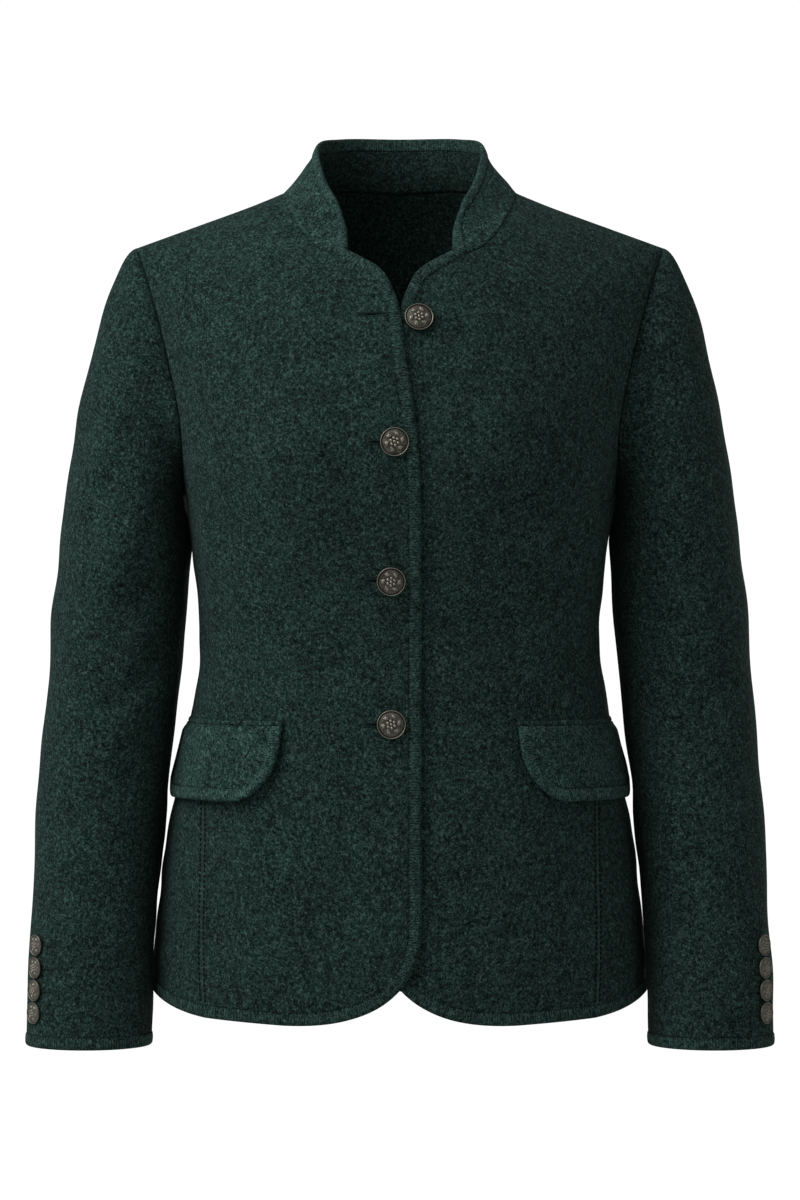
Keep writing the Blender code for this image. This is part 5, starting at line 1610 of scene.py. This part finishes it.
class JACKET_OT_sleeves(bpy.types.Operator):
    """Make both sleeves, each cut in an upper and an under sleeve"""

    bl_idname = "jacket.sleeves"
    bl_label = "Sleeves"

    def execute(self, context):
        cloth = context.scene.jacket_cloth
        fine = cloth.fineness
        index = np.concatenate([marks(HIND_SEAM, fine), HIND_SEAM + marks(LOOP_COUNT - HIND_SEAM, fine)[1:]])
        rows = np.append(np.linspace(0, 0.985, SLEEVE_ROWS_DOWN * (fine + 6) + 1), CUFF_ROWS)
        plain, loop = sleeve_surface(index, rows), armhole_loop(index)
        from_cap = lengths(plain)
        at_body = 1 - ease(from_cap[..., None] / 9)
        out = unit(closed_normals(plain) * (1 - at_body) + unit(body(1, loop, 1.0) - body(1, loop)) * at_body)
        away = ease(from_cap / 30)
        depth = seam_share(loop[:, 1]) * (1 - away) + SOFT_SEAM * away
        hind = int(np.argmin(np.abs(index - HIND_SEAM)))
        pieces = {
            "under": (slice(0, hind + 1), UNDER_SLEEVE_CUT, UNDER_SLEEVE_AREA),
            "upper": (slice(hind, len(index)), UPPER_SLEEVE_CUT, UPPER_SLEEVE_AREA),
        }
        for side, side_name in ((-1, "right"), (1, "left")):
            lift = self.relief(cloth, side, plain, out) * away
            for piece, (columns, cut, area) in pieces.items():
                part = (grid[:, columns] for grid in (plain, out, lift, depth))
                walls = self.walls(cloth, side, *part)
                node = f"{piece}_sleeve_{side_name}"
                declare_cloth(cloth_shell(cloth, node, *walls), node, cut, area)
        return {"FINISHED"}

    def relief(self, cloth, side, points, out):
        """Folds and slow waves of one sleeve, which die away towards the cuff's band."""
        degrees = np.degrees(np.arctan2(out[..., 1] * -1, out[..., 0]))
        rows = scaled(all_round(RIGHT_SLEEVE_FOLDS if side < 0 else LEFT_SLEEVE_FOLDS), SLEEVE_DEGREE)
        lift = cloth.fold_strength * folds(rows, degrees * SLEEVE_DEGREE, points[..., 2])
        lift = lift + slow_waves(points * (side, 1, 1), SLEEVE_WAVES) * cloth.unevenness / MM * 1.2
        return lift * clear_of(points[..., 2], CUFF_CLEAR)

    def walls(self, cloth, side, points, out, lift, depth):
        """Both walls of one cut piece of a sleeve, and its marks."""
        in_band, _ = border_distance(points, ("top",))
        seam, run = border_distance(points, ("bottom", "start", "end"))

        def place(lift):
            return (points + out * lift[..., None]) * (side, 1, 1)

        rolled = seam_roll(cloth, seam, run, depth)
        # Painted shade where the sleeve comes close to the body.
        marked = {"seam": seam, "run": run, "sunk": depth, "hollow": painted_shade_at_sleeve(points)}
        return *walls_of(place, lift * ease(seam / 5), rolled, tongue(in_band)), marked


# --- Pockets ---


def pocket_girths():
    """Girths along the top of the pocket, with their distances from its front end."""
    girth = np.linspace(math.radians(15), math.radians(130), EDGE_SAMPLES)
    level = (FLAP_TOP - CHEST) / (CHEST - hem(girth))
    points = skin(girth, level)
    along = lengths(points)
    return girth, along - np.interp(FLAP_FRONT, points[: EDGE_SAMPLES // 2, 0], along[: EDGE_SAMPLES // 2])


POCKET_GIRTHS, POCKET_ALONG = pocket_girths()


def pocket_chart(along, below):
    """The chart's place of points this far from the pocket's front end and below its top."""
    girth = np.interp(along, POCKET_ALONG, POCKET_GIRTHS)
    return np.stack([girth, (FLAP_TOP - below - CHEST) / (CHEST - hem(girth))], axis=-1)


def flap_line(distance, fine):
    """The flap's free edge as (along, below), from its front end round both oval corners, this far in."""
    turn = np.linspace(0, math.pi / 2, FLAP_TURNS * fine + 1)
    wide, high = FLAP_CORNER_WIDTH - distance, FLAP_CORNER_HEIGHT - distance
    front = FLAP_CORNER_WIDTH - wide * np.cos(turn)
    below = FLAP_HEIGHT - FLAP_CORNER_HEIGHT + high * np.sin(turn)
    middle = np.linspace(front[-1], FLAP_LENGTH - front[-1], FLAP_MIDDLES * fine + 1)[1:-1]
    along = np.concatenate([front, middle, FLAP_LENGTH - front[::-1]])
    return np.stack([along, np.concatenate([below, np.full(len(middle), below[-1]), below[::-1]])], axis=1)


def flap_lift(along, below):
    """The flap stands further off the front the lower it gets, and more towards its front end than at the
    side, where its lower edge curls in."""
    down = np.clip(below, 0, None) / FLAP_HEIGHT
    curled = FLAP_CURL * clear_of(along, FLAP_HIND) * clear_of(down, FLAP_LOW)
    leaning = (FLAP_FLARE + FLAP_LEAN * ease(1.15 - along / FLAP_LEAN_REACH)) * down**1.5
    return FLAP_GAP * (0.4 + 0.6 * ease(down / 0.2)) + leaning - curled


def push_below(cloth, side, chart):
    """How far the front's own folds push the flap or the welt out here. It bridges their hollows."""
    return np.clip(body_relief(cloth, side, chart, body(side, chart)), 0, None) * 0.9 + 0.05


class JACKET_OT_pockets(bpy.types.Operator):
    """Make the flaps of both pockets, their bands, and the welts above them"""

    bl_idname = "jacket.pockets"
    bl_label = "Pockets"

    def execute(self, context):
        cloth = context.scene.jacket_cloth
        for side, name in ((-1, "right"), (1, "left")):
            self.flap(cloth, side, f"pocket_flap_{name}")
            self.edge(context, side, f"flap_band_{name}")
            self.welt(cloth, side, f"pocket_welt_{name}")
        return {"FINISHED"}

    def flap(self, cloth, side, node):
        """The flap inside its band. It is thinner towards its top, where it goes under the welt."""
        line = flap_line(INWARDS, cloth.fineness)
        along, below = np.broadcast_arrays(line[:, 0], FLAP_ROWS[:, None] * line[:, 1])
        chart = pocket_chart(along, below)
        lift = flap_lift(along, below) + push_below(cloth, side, chart)
        plain = body(side, chart, lift + CLOTH)
        in_band, _ = border_distance(plain, ("top",))
        seam, run = border_distance(plain, ("bottom",))
        thick = CLOTH * (1 - FLAP_THIN * (1 - ease(below / FLAP_THIN_REACH)))
        uneven = slow_waves(plain, FLAP_WAVES) * 0.4 * ease(np.minimum(seam, in_band) / 8)
        rolled = 0.5 * seam_roll(cloth, seam, run)
        outer = body(side, chart, lift + thick + uneven + rolled - tongue(in_band))
        inner = body(side, chart, lift + tongue(in_band))
        # The whole flap gets painted light.
        marked = {"seam": seam, "run": run, "brushed": np.ones_like(seam)}
        declare_cloth(cloth_shell(cloth, node, outer, inner, marked), node, FLAP_CUT, FLAP_AREA)

    def edge(self, context, side, node):
        """The flap's band, down its front end, along its free edge and up its hind end."""
        cloth = context.scene.jacket_cloth
        top = np.linspace(0, 1, cloth.fineness + 1)[:-1, None]

        def place(distance, rise):
            edge = flap_line(distance, cloth.fineness)
            first = np.stack(np.broadcast_arrays(edge[0][0], top * edge[0][1]), axis=-1)[:, 0]
            last = np.stack(np.broadcast_arrays(edge[-1][0], top[::-1] * edge[-1][1]), axis=-1)[:, 0]
            edge = np.concatenate([first, edge, last])
            chart = pocket_chart(edge[:, 0], edge[:, 1])
            level = flap_lift(edge[:, 0], edge[:, 1]) + push_below(cloth, side, chart)
            thin = FLAP_THIN * (1 - ease(edge[:, 1] / FLAP_THIN_REACH))
            return body(side, chart, level + (CLOTH + rise) * (1 - thin) + BAND_RISE * ease(edge[:, 1] / 5))

        # The flap's band gets painted light in full.
        make_band(context, node, place, brushed=1.0)

    def welt(self, cloth, side, node):
        """The welt is a narrow bar, rounded over its top and bottom like half a sine wave."""
        along, share = np.meshgrid(np.linspace(0, FLAP_LENGTH, 90), np.linspace(0, 1, 9))
        chart = pocket_chart(along, -SEAM_GAP - WELT_HEIGHT * (1 - share))
        low = np.full(along.shape, 0.05) + push_below(cloth, side, chart)
        ends = ease(np.minimum(along, FLAP_LENGTH - along) / 3)
        puffed = low + WELT_THICKNESS * (0.25 + 0.75 * np.sin(math.pi * share) ** 0.6 * ends)
        uv = np.stack([along, share * WELT_HEIGHT], axis=-1)
        # Painted shade along the welt's top edge, and painted light on the whole welt.
        marked = {
            "seam": np.full_like(along, 50),
            "run": along,
            "hollow": 0.7 * ease(1 - share * WELT_HEIGHT / 1.1),
            "brushed": np.full_like(along, 0.7),
        }
        made = cloth_shell(cloth, node, body(side, chart, puffed), body(side, chart, low), marked, uv)
        declare_cloth(made, node, WELT_CUT, WELT_AREA)


# --- Buttonholes ---


def surface_frame(side, across, height, lap):
    """The point of a front at this place seen from the front, and the way out there."""
    chart = from_front(np.array(across * side), np.array(height))
    point = body(side, chart, 0, lap)
    return point, unit(body(side, chart, 1.0, lap) - point)


def hole_places():
    """Where the slits are. The top one is empty, so it comes first."""
    return [TOP_HOLE] + [(across - HOLE_SHIFT, height) for across, height in FASTENED_BUTTONS]


def slit_axes(out):
    """The ways along a slit, which is level, and across it."""
    side = unit(np.cross((0, 0, 1), out))
    return side, np.cross(out, side)


def cut_buttonholes(front):
    """Cuts the slits right through the front with one lens-shaped cutter for each, and keeps the result as
    its mesh. The empty slit is nearly closed at its ends; the others gape round their buttons' stems."""
    turn = np.linspace(0, 2 * math.pi, SLIT_CORNERS + 1)[:-1]
    rim = np.arange(SLIT_CORNERS)
    after, half = np.roll(rim, -1), SLIT_CORNERS // 2
    near, far = rim[: half - 1], rim[1:half]
    back_far, back_near = SLIT_CORNERS - 1 - far, (SLIT_CORNERS - near) % SLIT_CORNERS
    cap = np.stack([near, far, back_far, back_near], -1)[1:]
    tip = np.array([[0, 1, SLIT_CORNERS - 1]])
    points, faces = [], []
    for number, (across, height) in enumerate(hole_places()):
        point, out = surface_frame(-1, across, height, LAP)
        side, up = slit_axes(out)
        closing = EMPTY_HOLE_CLOSING if number == 0 else 0
        gape = np.sin(turn) * np.abs(np.sin(turn)) ** closing * HOLE_HALF_WIDTH
        outline = point + side * (np.cos(turn) * HOLE_LENGTH / 2)[:, None] + up * gape[:, None]
        points += [outline + out * HOLE_DEPTH / 2, outline - out * HOLE_DEPTH / 2]
        start = number * 2 * SLIT_CORNERS
        other = start + SLIT_CORNERS
        faces.append(start + np.stack([rim, after, after + SLIT_CORNERS, rim + SLIT_CORNERS], -1))
        faces += [start + cap, other + cap[:, ::-1], start + tip, other + tip[:, ::-1]]
    cutter = make_mesh("buttonhole_cutter", np.concatenate(points), faces, front.data.materials[0])
    cutting = front.modifiers.new("buttonholes", "BOOLEAN")
    cutting.operation, cutting.object, cutting.solver = "DIFFERENCE", cutter, "EXACT"
    graph = bpy.context.evaluated_depsgraph_get()
    mesh = bpy.data.meshes.new_from_object(front.evaluated_get(graph), depsgraph=graph)
    if len(mesh.vertices) < len(front.data.vertices) * 0.9:
        raise RuntimeError("the buttonholes' cut lost a part of the front")
    front.modifiers.clear()
    front.data = mesh
    bpy.data.objects.remove(cutter, do_unlink=True)


def loops_of_thread(path, ahead, out, length, thick):
    """Purl stitches side by side: at each point of the path a short bent bar of thread of this length,
    lying across the path and arched like half a sine wave. The path and its ways are (n, 3) arrays."""
    steps, corners = 5, 5
    aside = unit(np.cross(out, ahead))[:, None]
    share = np.linspace(0, 1, steps)
    arch = (np.sin(math.pi * share) * thick * 0.8)[None, :, None]
    line = path[:, None] + aside * ((share - 0.5) * length)[None, :, None] + out[:, None] * arch
    turn = np.linspace(0, 2 * math.pi, corners + 1)[:-1, None]
    round_it = ahead[:, None, None] * np.cos(turn) + out[:, None, None] * np.sin(turn)
    slim = thick / 2 * (0.55 + 0.45 * np.sin(math.pi * share))[None, :, None, None]
    points = line[:, :, None] + round_it * slim
    index = np.arange(points.shape[0] * steps * corners).reshape(-1, steps, corners)
    after = np.roll(index, -1, axis=2)
    walls = np.stack([index[:, :-1], after[:, :-1], after[:, 1:], index[:, 1:]], -1).reshape(-1, 4)
    ends = np.concatenate([index[:, 0, ::-1], index[:, -1]])
    return points.reshape(-1, 3), walls, ends


def sew(name, groups, material):
    """One piece of thread from groups of stitches."""
    starts = np.cumsum([0] + [len(points) for points, _, _ in groups])
    faces = [np.concatenate([group[k] + start for group, start in zip(groups, starts)]) for k in (1, 2)]
    made = make_mesh(name, np.concatenate([group[0] for group in groups]), faces, material)
    ride_on_jacket(made)


class JACKET_OT_buttonholes(bpy.types.Operator):
    """Make the purl stitches round the buttonholes and the mock ones on the cuffs"""

    bl_idname = "jacket.buttonholes"
    bl_label = "Buttonholes"

    def execute(self, context):
        thread = shared("sewing_thread", sewing_thread, context.scene.jacket_cloth)
        sew("buttonhole_stitches", [self.stitches_round(*place) for place in hole_places()], thread)
        for sign, name in ((-1, "right"), (1, "left")):
            groups = [self.cuff_bar(sign, number) for number in range(CUFF_BUTTON_COUNT)]
            sew(f"cuff_stitches_{name}", groups, thread)
        return {"FINISHED"}

    def stitches_round(self, across, height):
        """Stitches stand square to a long oval round the slit, which is fuller than an ellipse."""
        turn = np.linspace(0, 2 * math.pi, HOLE_STITCHES + 1)[:-1]
        run = np.cos(turn) * STITCHED_OVAL[0]
        rise = signed_power(np.sin(turn), 0.5) * STITCHED_OVAL[1]
        frames = [surface_frame(-1, across + x, height + z, LAP) for x, z in zip(run, rise)]
        points, out = (np.array(found) for found in zip(*frames))
        path = points + out * STITCH_LIFT
        ahead = unit(np.roll(path, -1, axis=0) - np.roll(path, 1, axis=0))
        return loops_of_thread(path, ahead, out, *HOLE_STITCH)

    def cuff_bar(self, sign, number):
        """A short bar of stitches beside a cuff button, on the side towards the front."""
        angle = CUFF_BUTTON_ANGLE + np.linspace(*BAR_ANGLES, BAR_STITCHES)
        path, out = sleeve_point(angle, CUFF_BUTTON_LOWEST + CUFF_BUTTON_PITCH * number)
        path, out = path * (sign, 1, 1), out * (sign, 1, 1)
        return loops_of_thread(path + out * STITCH_LIFT, unit(np.gradient(path, axis=0)), out, *BAR_STITCH)


# --- Buttons ---

# The turned profile of a button: (distance from the middle as a share of the radius, height as a share of
# the diameter). The ornament's end and the rim's place and width are shares of the radius too.
BUTTON_TOP = np.array(
    [(0, 0.140), (0.3, 0.138), (0.6, 0.124), (0.78, 0.103), (0.87, 0.090), (0.90, 0.088)]
    + [(0.925, 0.106), (0.955, 0.115), (0.985, 0.105), (1.0, 0.080)]
)
BUTTON_UNDER = ((1.0, 0.045), (0.97, 0.02), (0.90, 0.0), (0.5, 0.0), (0.10, 0.0))
ORNAMENT_END, RIM_TOP, RIM_WIDTH, STEM_RADIUS = 0.84, 0.955, 0.035, 0.6


def bead(x, y, around, out, radius):
    """Height of half a ball at this angle and distance from the middle, as a share of the button's radius."""
    away = ((x - out * math.cos(around)) ** 2 + (y - out * math.sin(around)) ** 2) / radius**2
    return np.sqrt(np.clip(1 - away, 0, None)) * radius


def leaf(x, y, around, out, slant, length, width):
    """Height of a pointed leaf that starts at this angle and distance from the middle and lies slantwise: a
    rounded ridge whose width follows half a sine wave, with a sunken midrib and slanting veins."""
    ahead = math.cos(around + slant), math.sin(around + slant)
    x, y = x - out * math.cos(around), y - out * math.sin(around)
    along = x * ahead[0] + y * ahead[1]
    aside = y * ahead[0] - x * ahead[1] - 0.12 * slant * (along / length) ** 2
    wide = width * np.sin(math.pi * np.clip(along / length, 0, 1) ** 0.8) + TINY
    form = np.clip(1 - (aside / wide) ** 2, 0, None) * (along > 0) * (along < length)
    veins = 0.12 * np.sin((along - np.abs(aside) * 1.2) * 60)
    rib = np.exp(-((aside / (width * 0.16)) ** 2))
    return 0.105 * np.sqrt(form) * (1 + veins) * (1 - 0.5 * rib)


def emboss(x, y):
    """Height of the button's ornament, as a share of its radius: seven beads in a wreath of leaves."""
    height = bead(x, y, 0, 0, 0.12)
    for turn in math.pi / 6 + np.arange(6) * math.pi / 3:
        height = np.maximum(height, bead(x, y, turn, 0.255, 0.12))
        height = np.maximum(height, leaf(x, y, turn + 0.25, 0.44, 0.95, 0.42, 0.12))
        height = np.maximum(height, leaf(x, y, turn + 0.75, 0.46, -0.55, 0.32, 0.08))
    return height


def worn_metal(out, ornament, on_top):
    """How bright the metal is, as a share: rubbed on the ornament and the rim, half bright on the plain
    ground, and dark in the hollows beside the leaves."""
    rim = np.exp(-(((out - RIM_TOP) / RIM_WIDTH) ** 2)) * on_top * 0.85
    plain = 0.36 * np.clip((0.88 - out) / 0.06, 0, 1) * on_top
    hollow = 0.45 * np.clip(ornament * 30, 0, 1) * np.clip(1 - ornament * 16, 0, 1)
    return np.clip(np.maximum(ornament * 9, plain + np.zeros_like(ornament)) - hollow + rim, 0, 1)


def button_shape(diameter, stem, steps):
    """A turned profile with the ornament added to its top, on a stem down to the cloth. Returns points
    round +Z, faces and how bright each point is."""
    radius = diameter / 2
    ornamented = np.linspace(0.02, ORNAMENT_END, steps // 3)
    share = np.unique(np.append(ornamented, np.linspace(ORNAMENT_END, 1.0, steps // 8)))
    top = np.stack([share, smooth(share, *BUTTON_TOP.T) * 2], axis=1)
    stem_rows = np.array([(STEM_RADIUS, 0.0), (STEM_RADIUS, -stem)]) / radius
    profile = np.concatenate([top, np.array(BUTTON_UNDER) * (1, 2), stem_rows])
    out, turn = profile[:, :1], np.linspace(0, 2 * math.pi, steps + 1)[:-1]
    x, y = out * np.cos(turn), out * np.sin(turn)
    on_top = (np.arange(len(profile)) < len(share))[:, None]
    ornament = emboss(x, y) * np.clip((ORNAMENT_END - out) / 0.05, 0, 1) * on_top
    points = np.stack([x, y, profile[:, 1:] + ornament], axis=-1).reshape(-1, 3) * radius
    index = np.arange(x.size).reshape(x.shape)
    index = np.concatenate([index, index[:, :1]], axis=1)
    peak, foot = len(points), len(points) + 1
    middle = (BUTTON_TOP[0, 1] * 2 + emboss(0.0, 0.0)) * radius
    points = np.concatenate([points, [(0, 0, middle), (0, 0, -stem)]])
    first = np.stack([index[0, 1:], index[0, :-1], np.full(steps, peak)], -1)
    last = np.stack([index[-1, :-1], index[-1, 1:], np.full(steps, foot)], -1)
    bright = np.append(worn_metal(out, ornament, on_top).ravel(), [1.0, 0.0])
    return points, [grid_faces(index), first, last], bright


def place_button(node, shape, material, point, out, height_over, twist=0.0):
    """Puts a button over this point of the cloth, facing out, with its ornament upright but for a twist."""
    points, faces, bright = shape
    side, up = slit_axes(out)
    turned_side = side * math.cos(twist) + up * math.sin(twist)
    turned_up = up * math.cos(twist) - side * math.sin(twist)
    placed = points @ np.stack([turned_side, turned_up, out]) + point + out * height_over
    made = make_mesh(f"{node}_metal", placed, faces, material, marks={"raised": bright})
    ride_on_jacket(made, node)


class JACKET_OT_front_buttons(bpy.types.Operator):
    """Make the three fastened buttons and the undone one at the neck"""

    bl_idname = "jacket.front_buttons"
    bl_label = "Front buttons"

    def execute(self, context):
        buttons = context.scene.jacket_buttons
        metal = shared("old_silver", old_silver, buttons)
        diameter = buttons.front_diameter / MM
        through = button_shape(diameter, 2 * LAP - BAND_RISE + BUTTON_GAP - SEAM_GAP, buttons.turns)
        alone = button_shape(diameter, STEM_LENGTH, buttons.turns)
        frame_at = surface_frame(1, *UNDONE_BUTTON, -LAP)
        place_button("front_button_1", alone, metal, *frame_at, SEAM_GAP + STEM_LENGTH, UNDONE_TWIST)
        for number, (place, twist) in enumerate(zip(FASTENED_BUTTONS, FASTENED_TWISTS), start=2):
            frame_at = surface_frame(-1, *place, LAP)
            place_button(f"front_button_{number}", through, metal, *frame_at, BUTTON_GAP, twist)
        return {"FINISHED"}


class JACKET_OT_cuff_buttons(bpy.types.Operator):
    """Make the four small buttons above each cuff"""

    bl_idname = "jacket.cuff_buttons"
    bl_label = "Cuff buttons"

    def execute(self, context):
        buttons = context.scene.jacket_buttons
        metal = shared("old_silver", old_silver, buttons)
        points, faces, bright = button_shape(buttons.cuff_diameter / MM, CUFF_STEM, buttons.turns * 2 // 3)
        shape = points, faces, 0.28 + 0.5 * bright
        for side, name in ((-1, "right"), (1, "left")):
            for number in range(CUFF_BUTTON_COUNT):
                height = CUFF_BUTTON_LOWEST + CUFF_BUTTON_PITCH * number
                found = sleeve_point(np.array(CUFF_BUTTON_ANGLE), height)
                point, out = (vector * (side, 1, 1) for vector in found)
                node, twist = f"cuff_button_{name}_{number + 1}", 0.3 * math.sin(number * 2.4 + side)
                place_button(node, shape, metal, point, out, SEAM_GAP + CUFF_STEM, twist)
        return {"FINISHED"}


# --- Studio ---

FLOOR_HALF, FLOOR_THICKNESS = 3000.0, 10.0


def area_light(name, place, towards, size, power):
    """A white square light that shines from one place towards another."""
    data = bpy.data.lights.new(name, "AREA")
    data.size, data.energy = size, power
    light = bpy.data.objects.new(name, data)
    bpy.context.scene.collection.objects.link(light)
    light.location = place
    light.rotation_euler = (Vector(towards) - Vector(place)).to_track_quat("-Z", "Y").to_euler()


class JACKET_OT_studio(bpy.types.Operator):
    """Make the pale floor, the soft lights, the white surroundings and the camera"""

    bl_idname = "jacket.studio"
    bl_label = "Studio"

    def execute(self, context):
        scene = context.scene
        stage = scene.jacket_stage
        x, y = np.meshgrid(*[np.linspace(-FLOOR_HALF, FLOOR_HALF, 5)] * 2)
        points = np.stack([x, y, np.full_like(x, stage.floor_height / MM)], axis=-1)
        shell("floor", points, points - (0, 0, FLOOR_THICKNESS), pale_paint("floor_paint", 0.9))
        middle = (0, 0, stage.centre_height)
        area_light("key", (-2.4, -0.9, 1.3), middle, 1.3, stage.key_light)
        area_light("top", (-0.8, -0.8, 1.1), (0, 0, -0.15), 0.7, stage.top_light)
        area_light("back", (0.9, 2.7, -0.2), middle, 1.8, stage.back_light)
        self.surroundings(scene, stage)
        self.camera(scene, stage)
        return {"FINISHED"}

    def camera(self, scene, stage):
        """A camera in front at the middle's height, whose picture is as high as the stage says."""
        data = bpy.data.cameras.new("camera")
        data.sensor_width = 36.0
        data.lens = data.sensor_width * stage.distance / stage.frame_height
        data.clip_start, data.clip_end = 0.05, 50
        camera = bpy.data.objects.new("camera", data)
        scene.collection.objects.link(camera)
        camera.location = (0, -stage.distance, stage.centre_height)
        camera.rotation_euler = (math.radians(90), 0, 0)
        scene.camera = camera
        scene.view_settings.view_transform = "Standard"
        scene.view_settings.look = "None"

    def surroundings(self, scene, stage):
        """White where the camera sees past the floor, and a dimmer light from all round on the jacket."""
        world = bpy.data.worlds.new("studio")
        world.use_nodes = True
        scene.world = world
        nodes, links = world.node_tree.nodes, world.node_tree.links
        background = nodes["Background"]
        path = nodes.new("ShaderNodeLightPath")
        strength = nodes.new("ShaderNodeMapRange")
        strength.inputs["To Min"].default_value = stage.ambient
        strength.inputs["To Max"].default_value = 1.05
        links.new(path.outputs["Is Camera Ray"], strength.inputs["Value"])
        links.new(strength.outputs[0], background.inputs["Strength"])
        background.inputs["Color"].default_value = (1, 1, 1, 1)


# --- Panel and run ---


class JACKET_PT_sidebar(bpy.types.Panel):
    """Lists the jacket's sizes and pieces"""

    bl_idname = "JACKET_PT_sidebar"
    bl_label = "Tyrolean jacket"
    bl_space_type = "VIEW_3D"
    bl_region_type = "UI"
    bl_category = "Jacket"

    def draw(self, context):
        for name in GROUPS:
            group = getattr(context.scene, name)
            box = self.layout.box()
            for prop in group.__annotations__:
                box.prop(group, prop)
        for operator in OPERATORS:
            self.layout.operator(operator.bl_idname)


GROUPS = {"jacket_cloth": JacketCloth, "jacket_buttons": JacketButtons, "jacket_stage": JacketStage}
OPERATORS = (
    JACKET_OT_fronts,
    JACKET_OT_side_panels,
    JACKET_OT_back,
    JACKET_OT_collar,
    JACKET_OT_bands,
    JACKET_OT_sleeves,
    JACKET_OT_pockets,
    JACKET_OT_buttonholes,
    JACKET_OT_front_buttons,
    JACKET_OT_cuff_buttons,
    JACKET_OT_studio,
)


def register():
    """Adds the sizes, the operators and the panel to Blender."""
    for made in (*GROUPS.values(), *OPERATORS, JACKET_PT_sidebar):
        bpy.utils.register_class(made)
    for name, group in GROUPS.items():
        setattr(bpy.types.Scene, name, PointerProperty(type=group))


def unregister():
    """Takes them away again."""
    for name in GROUPS:
        delattr(bpy.types.Scene, name)
    for made in reversed((*GROUPS.values(), *OPERATORS, JACKET_PT_sidebar)):
        bpy.utils.unregister_class(made)


def main():
    """Makes everything."""
    register()
    for operator in OPERATORS:
        group, name = operator.bl_idname.split(".")
        getattr(getattr(bpy.ops, group), name)()
    bpy.context.view_layer.update()


if __name__ == "__main__":
    main()
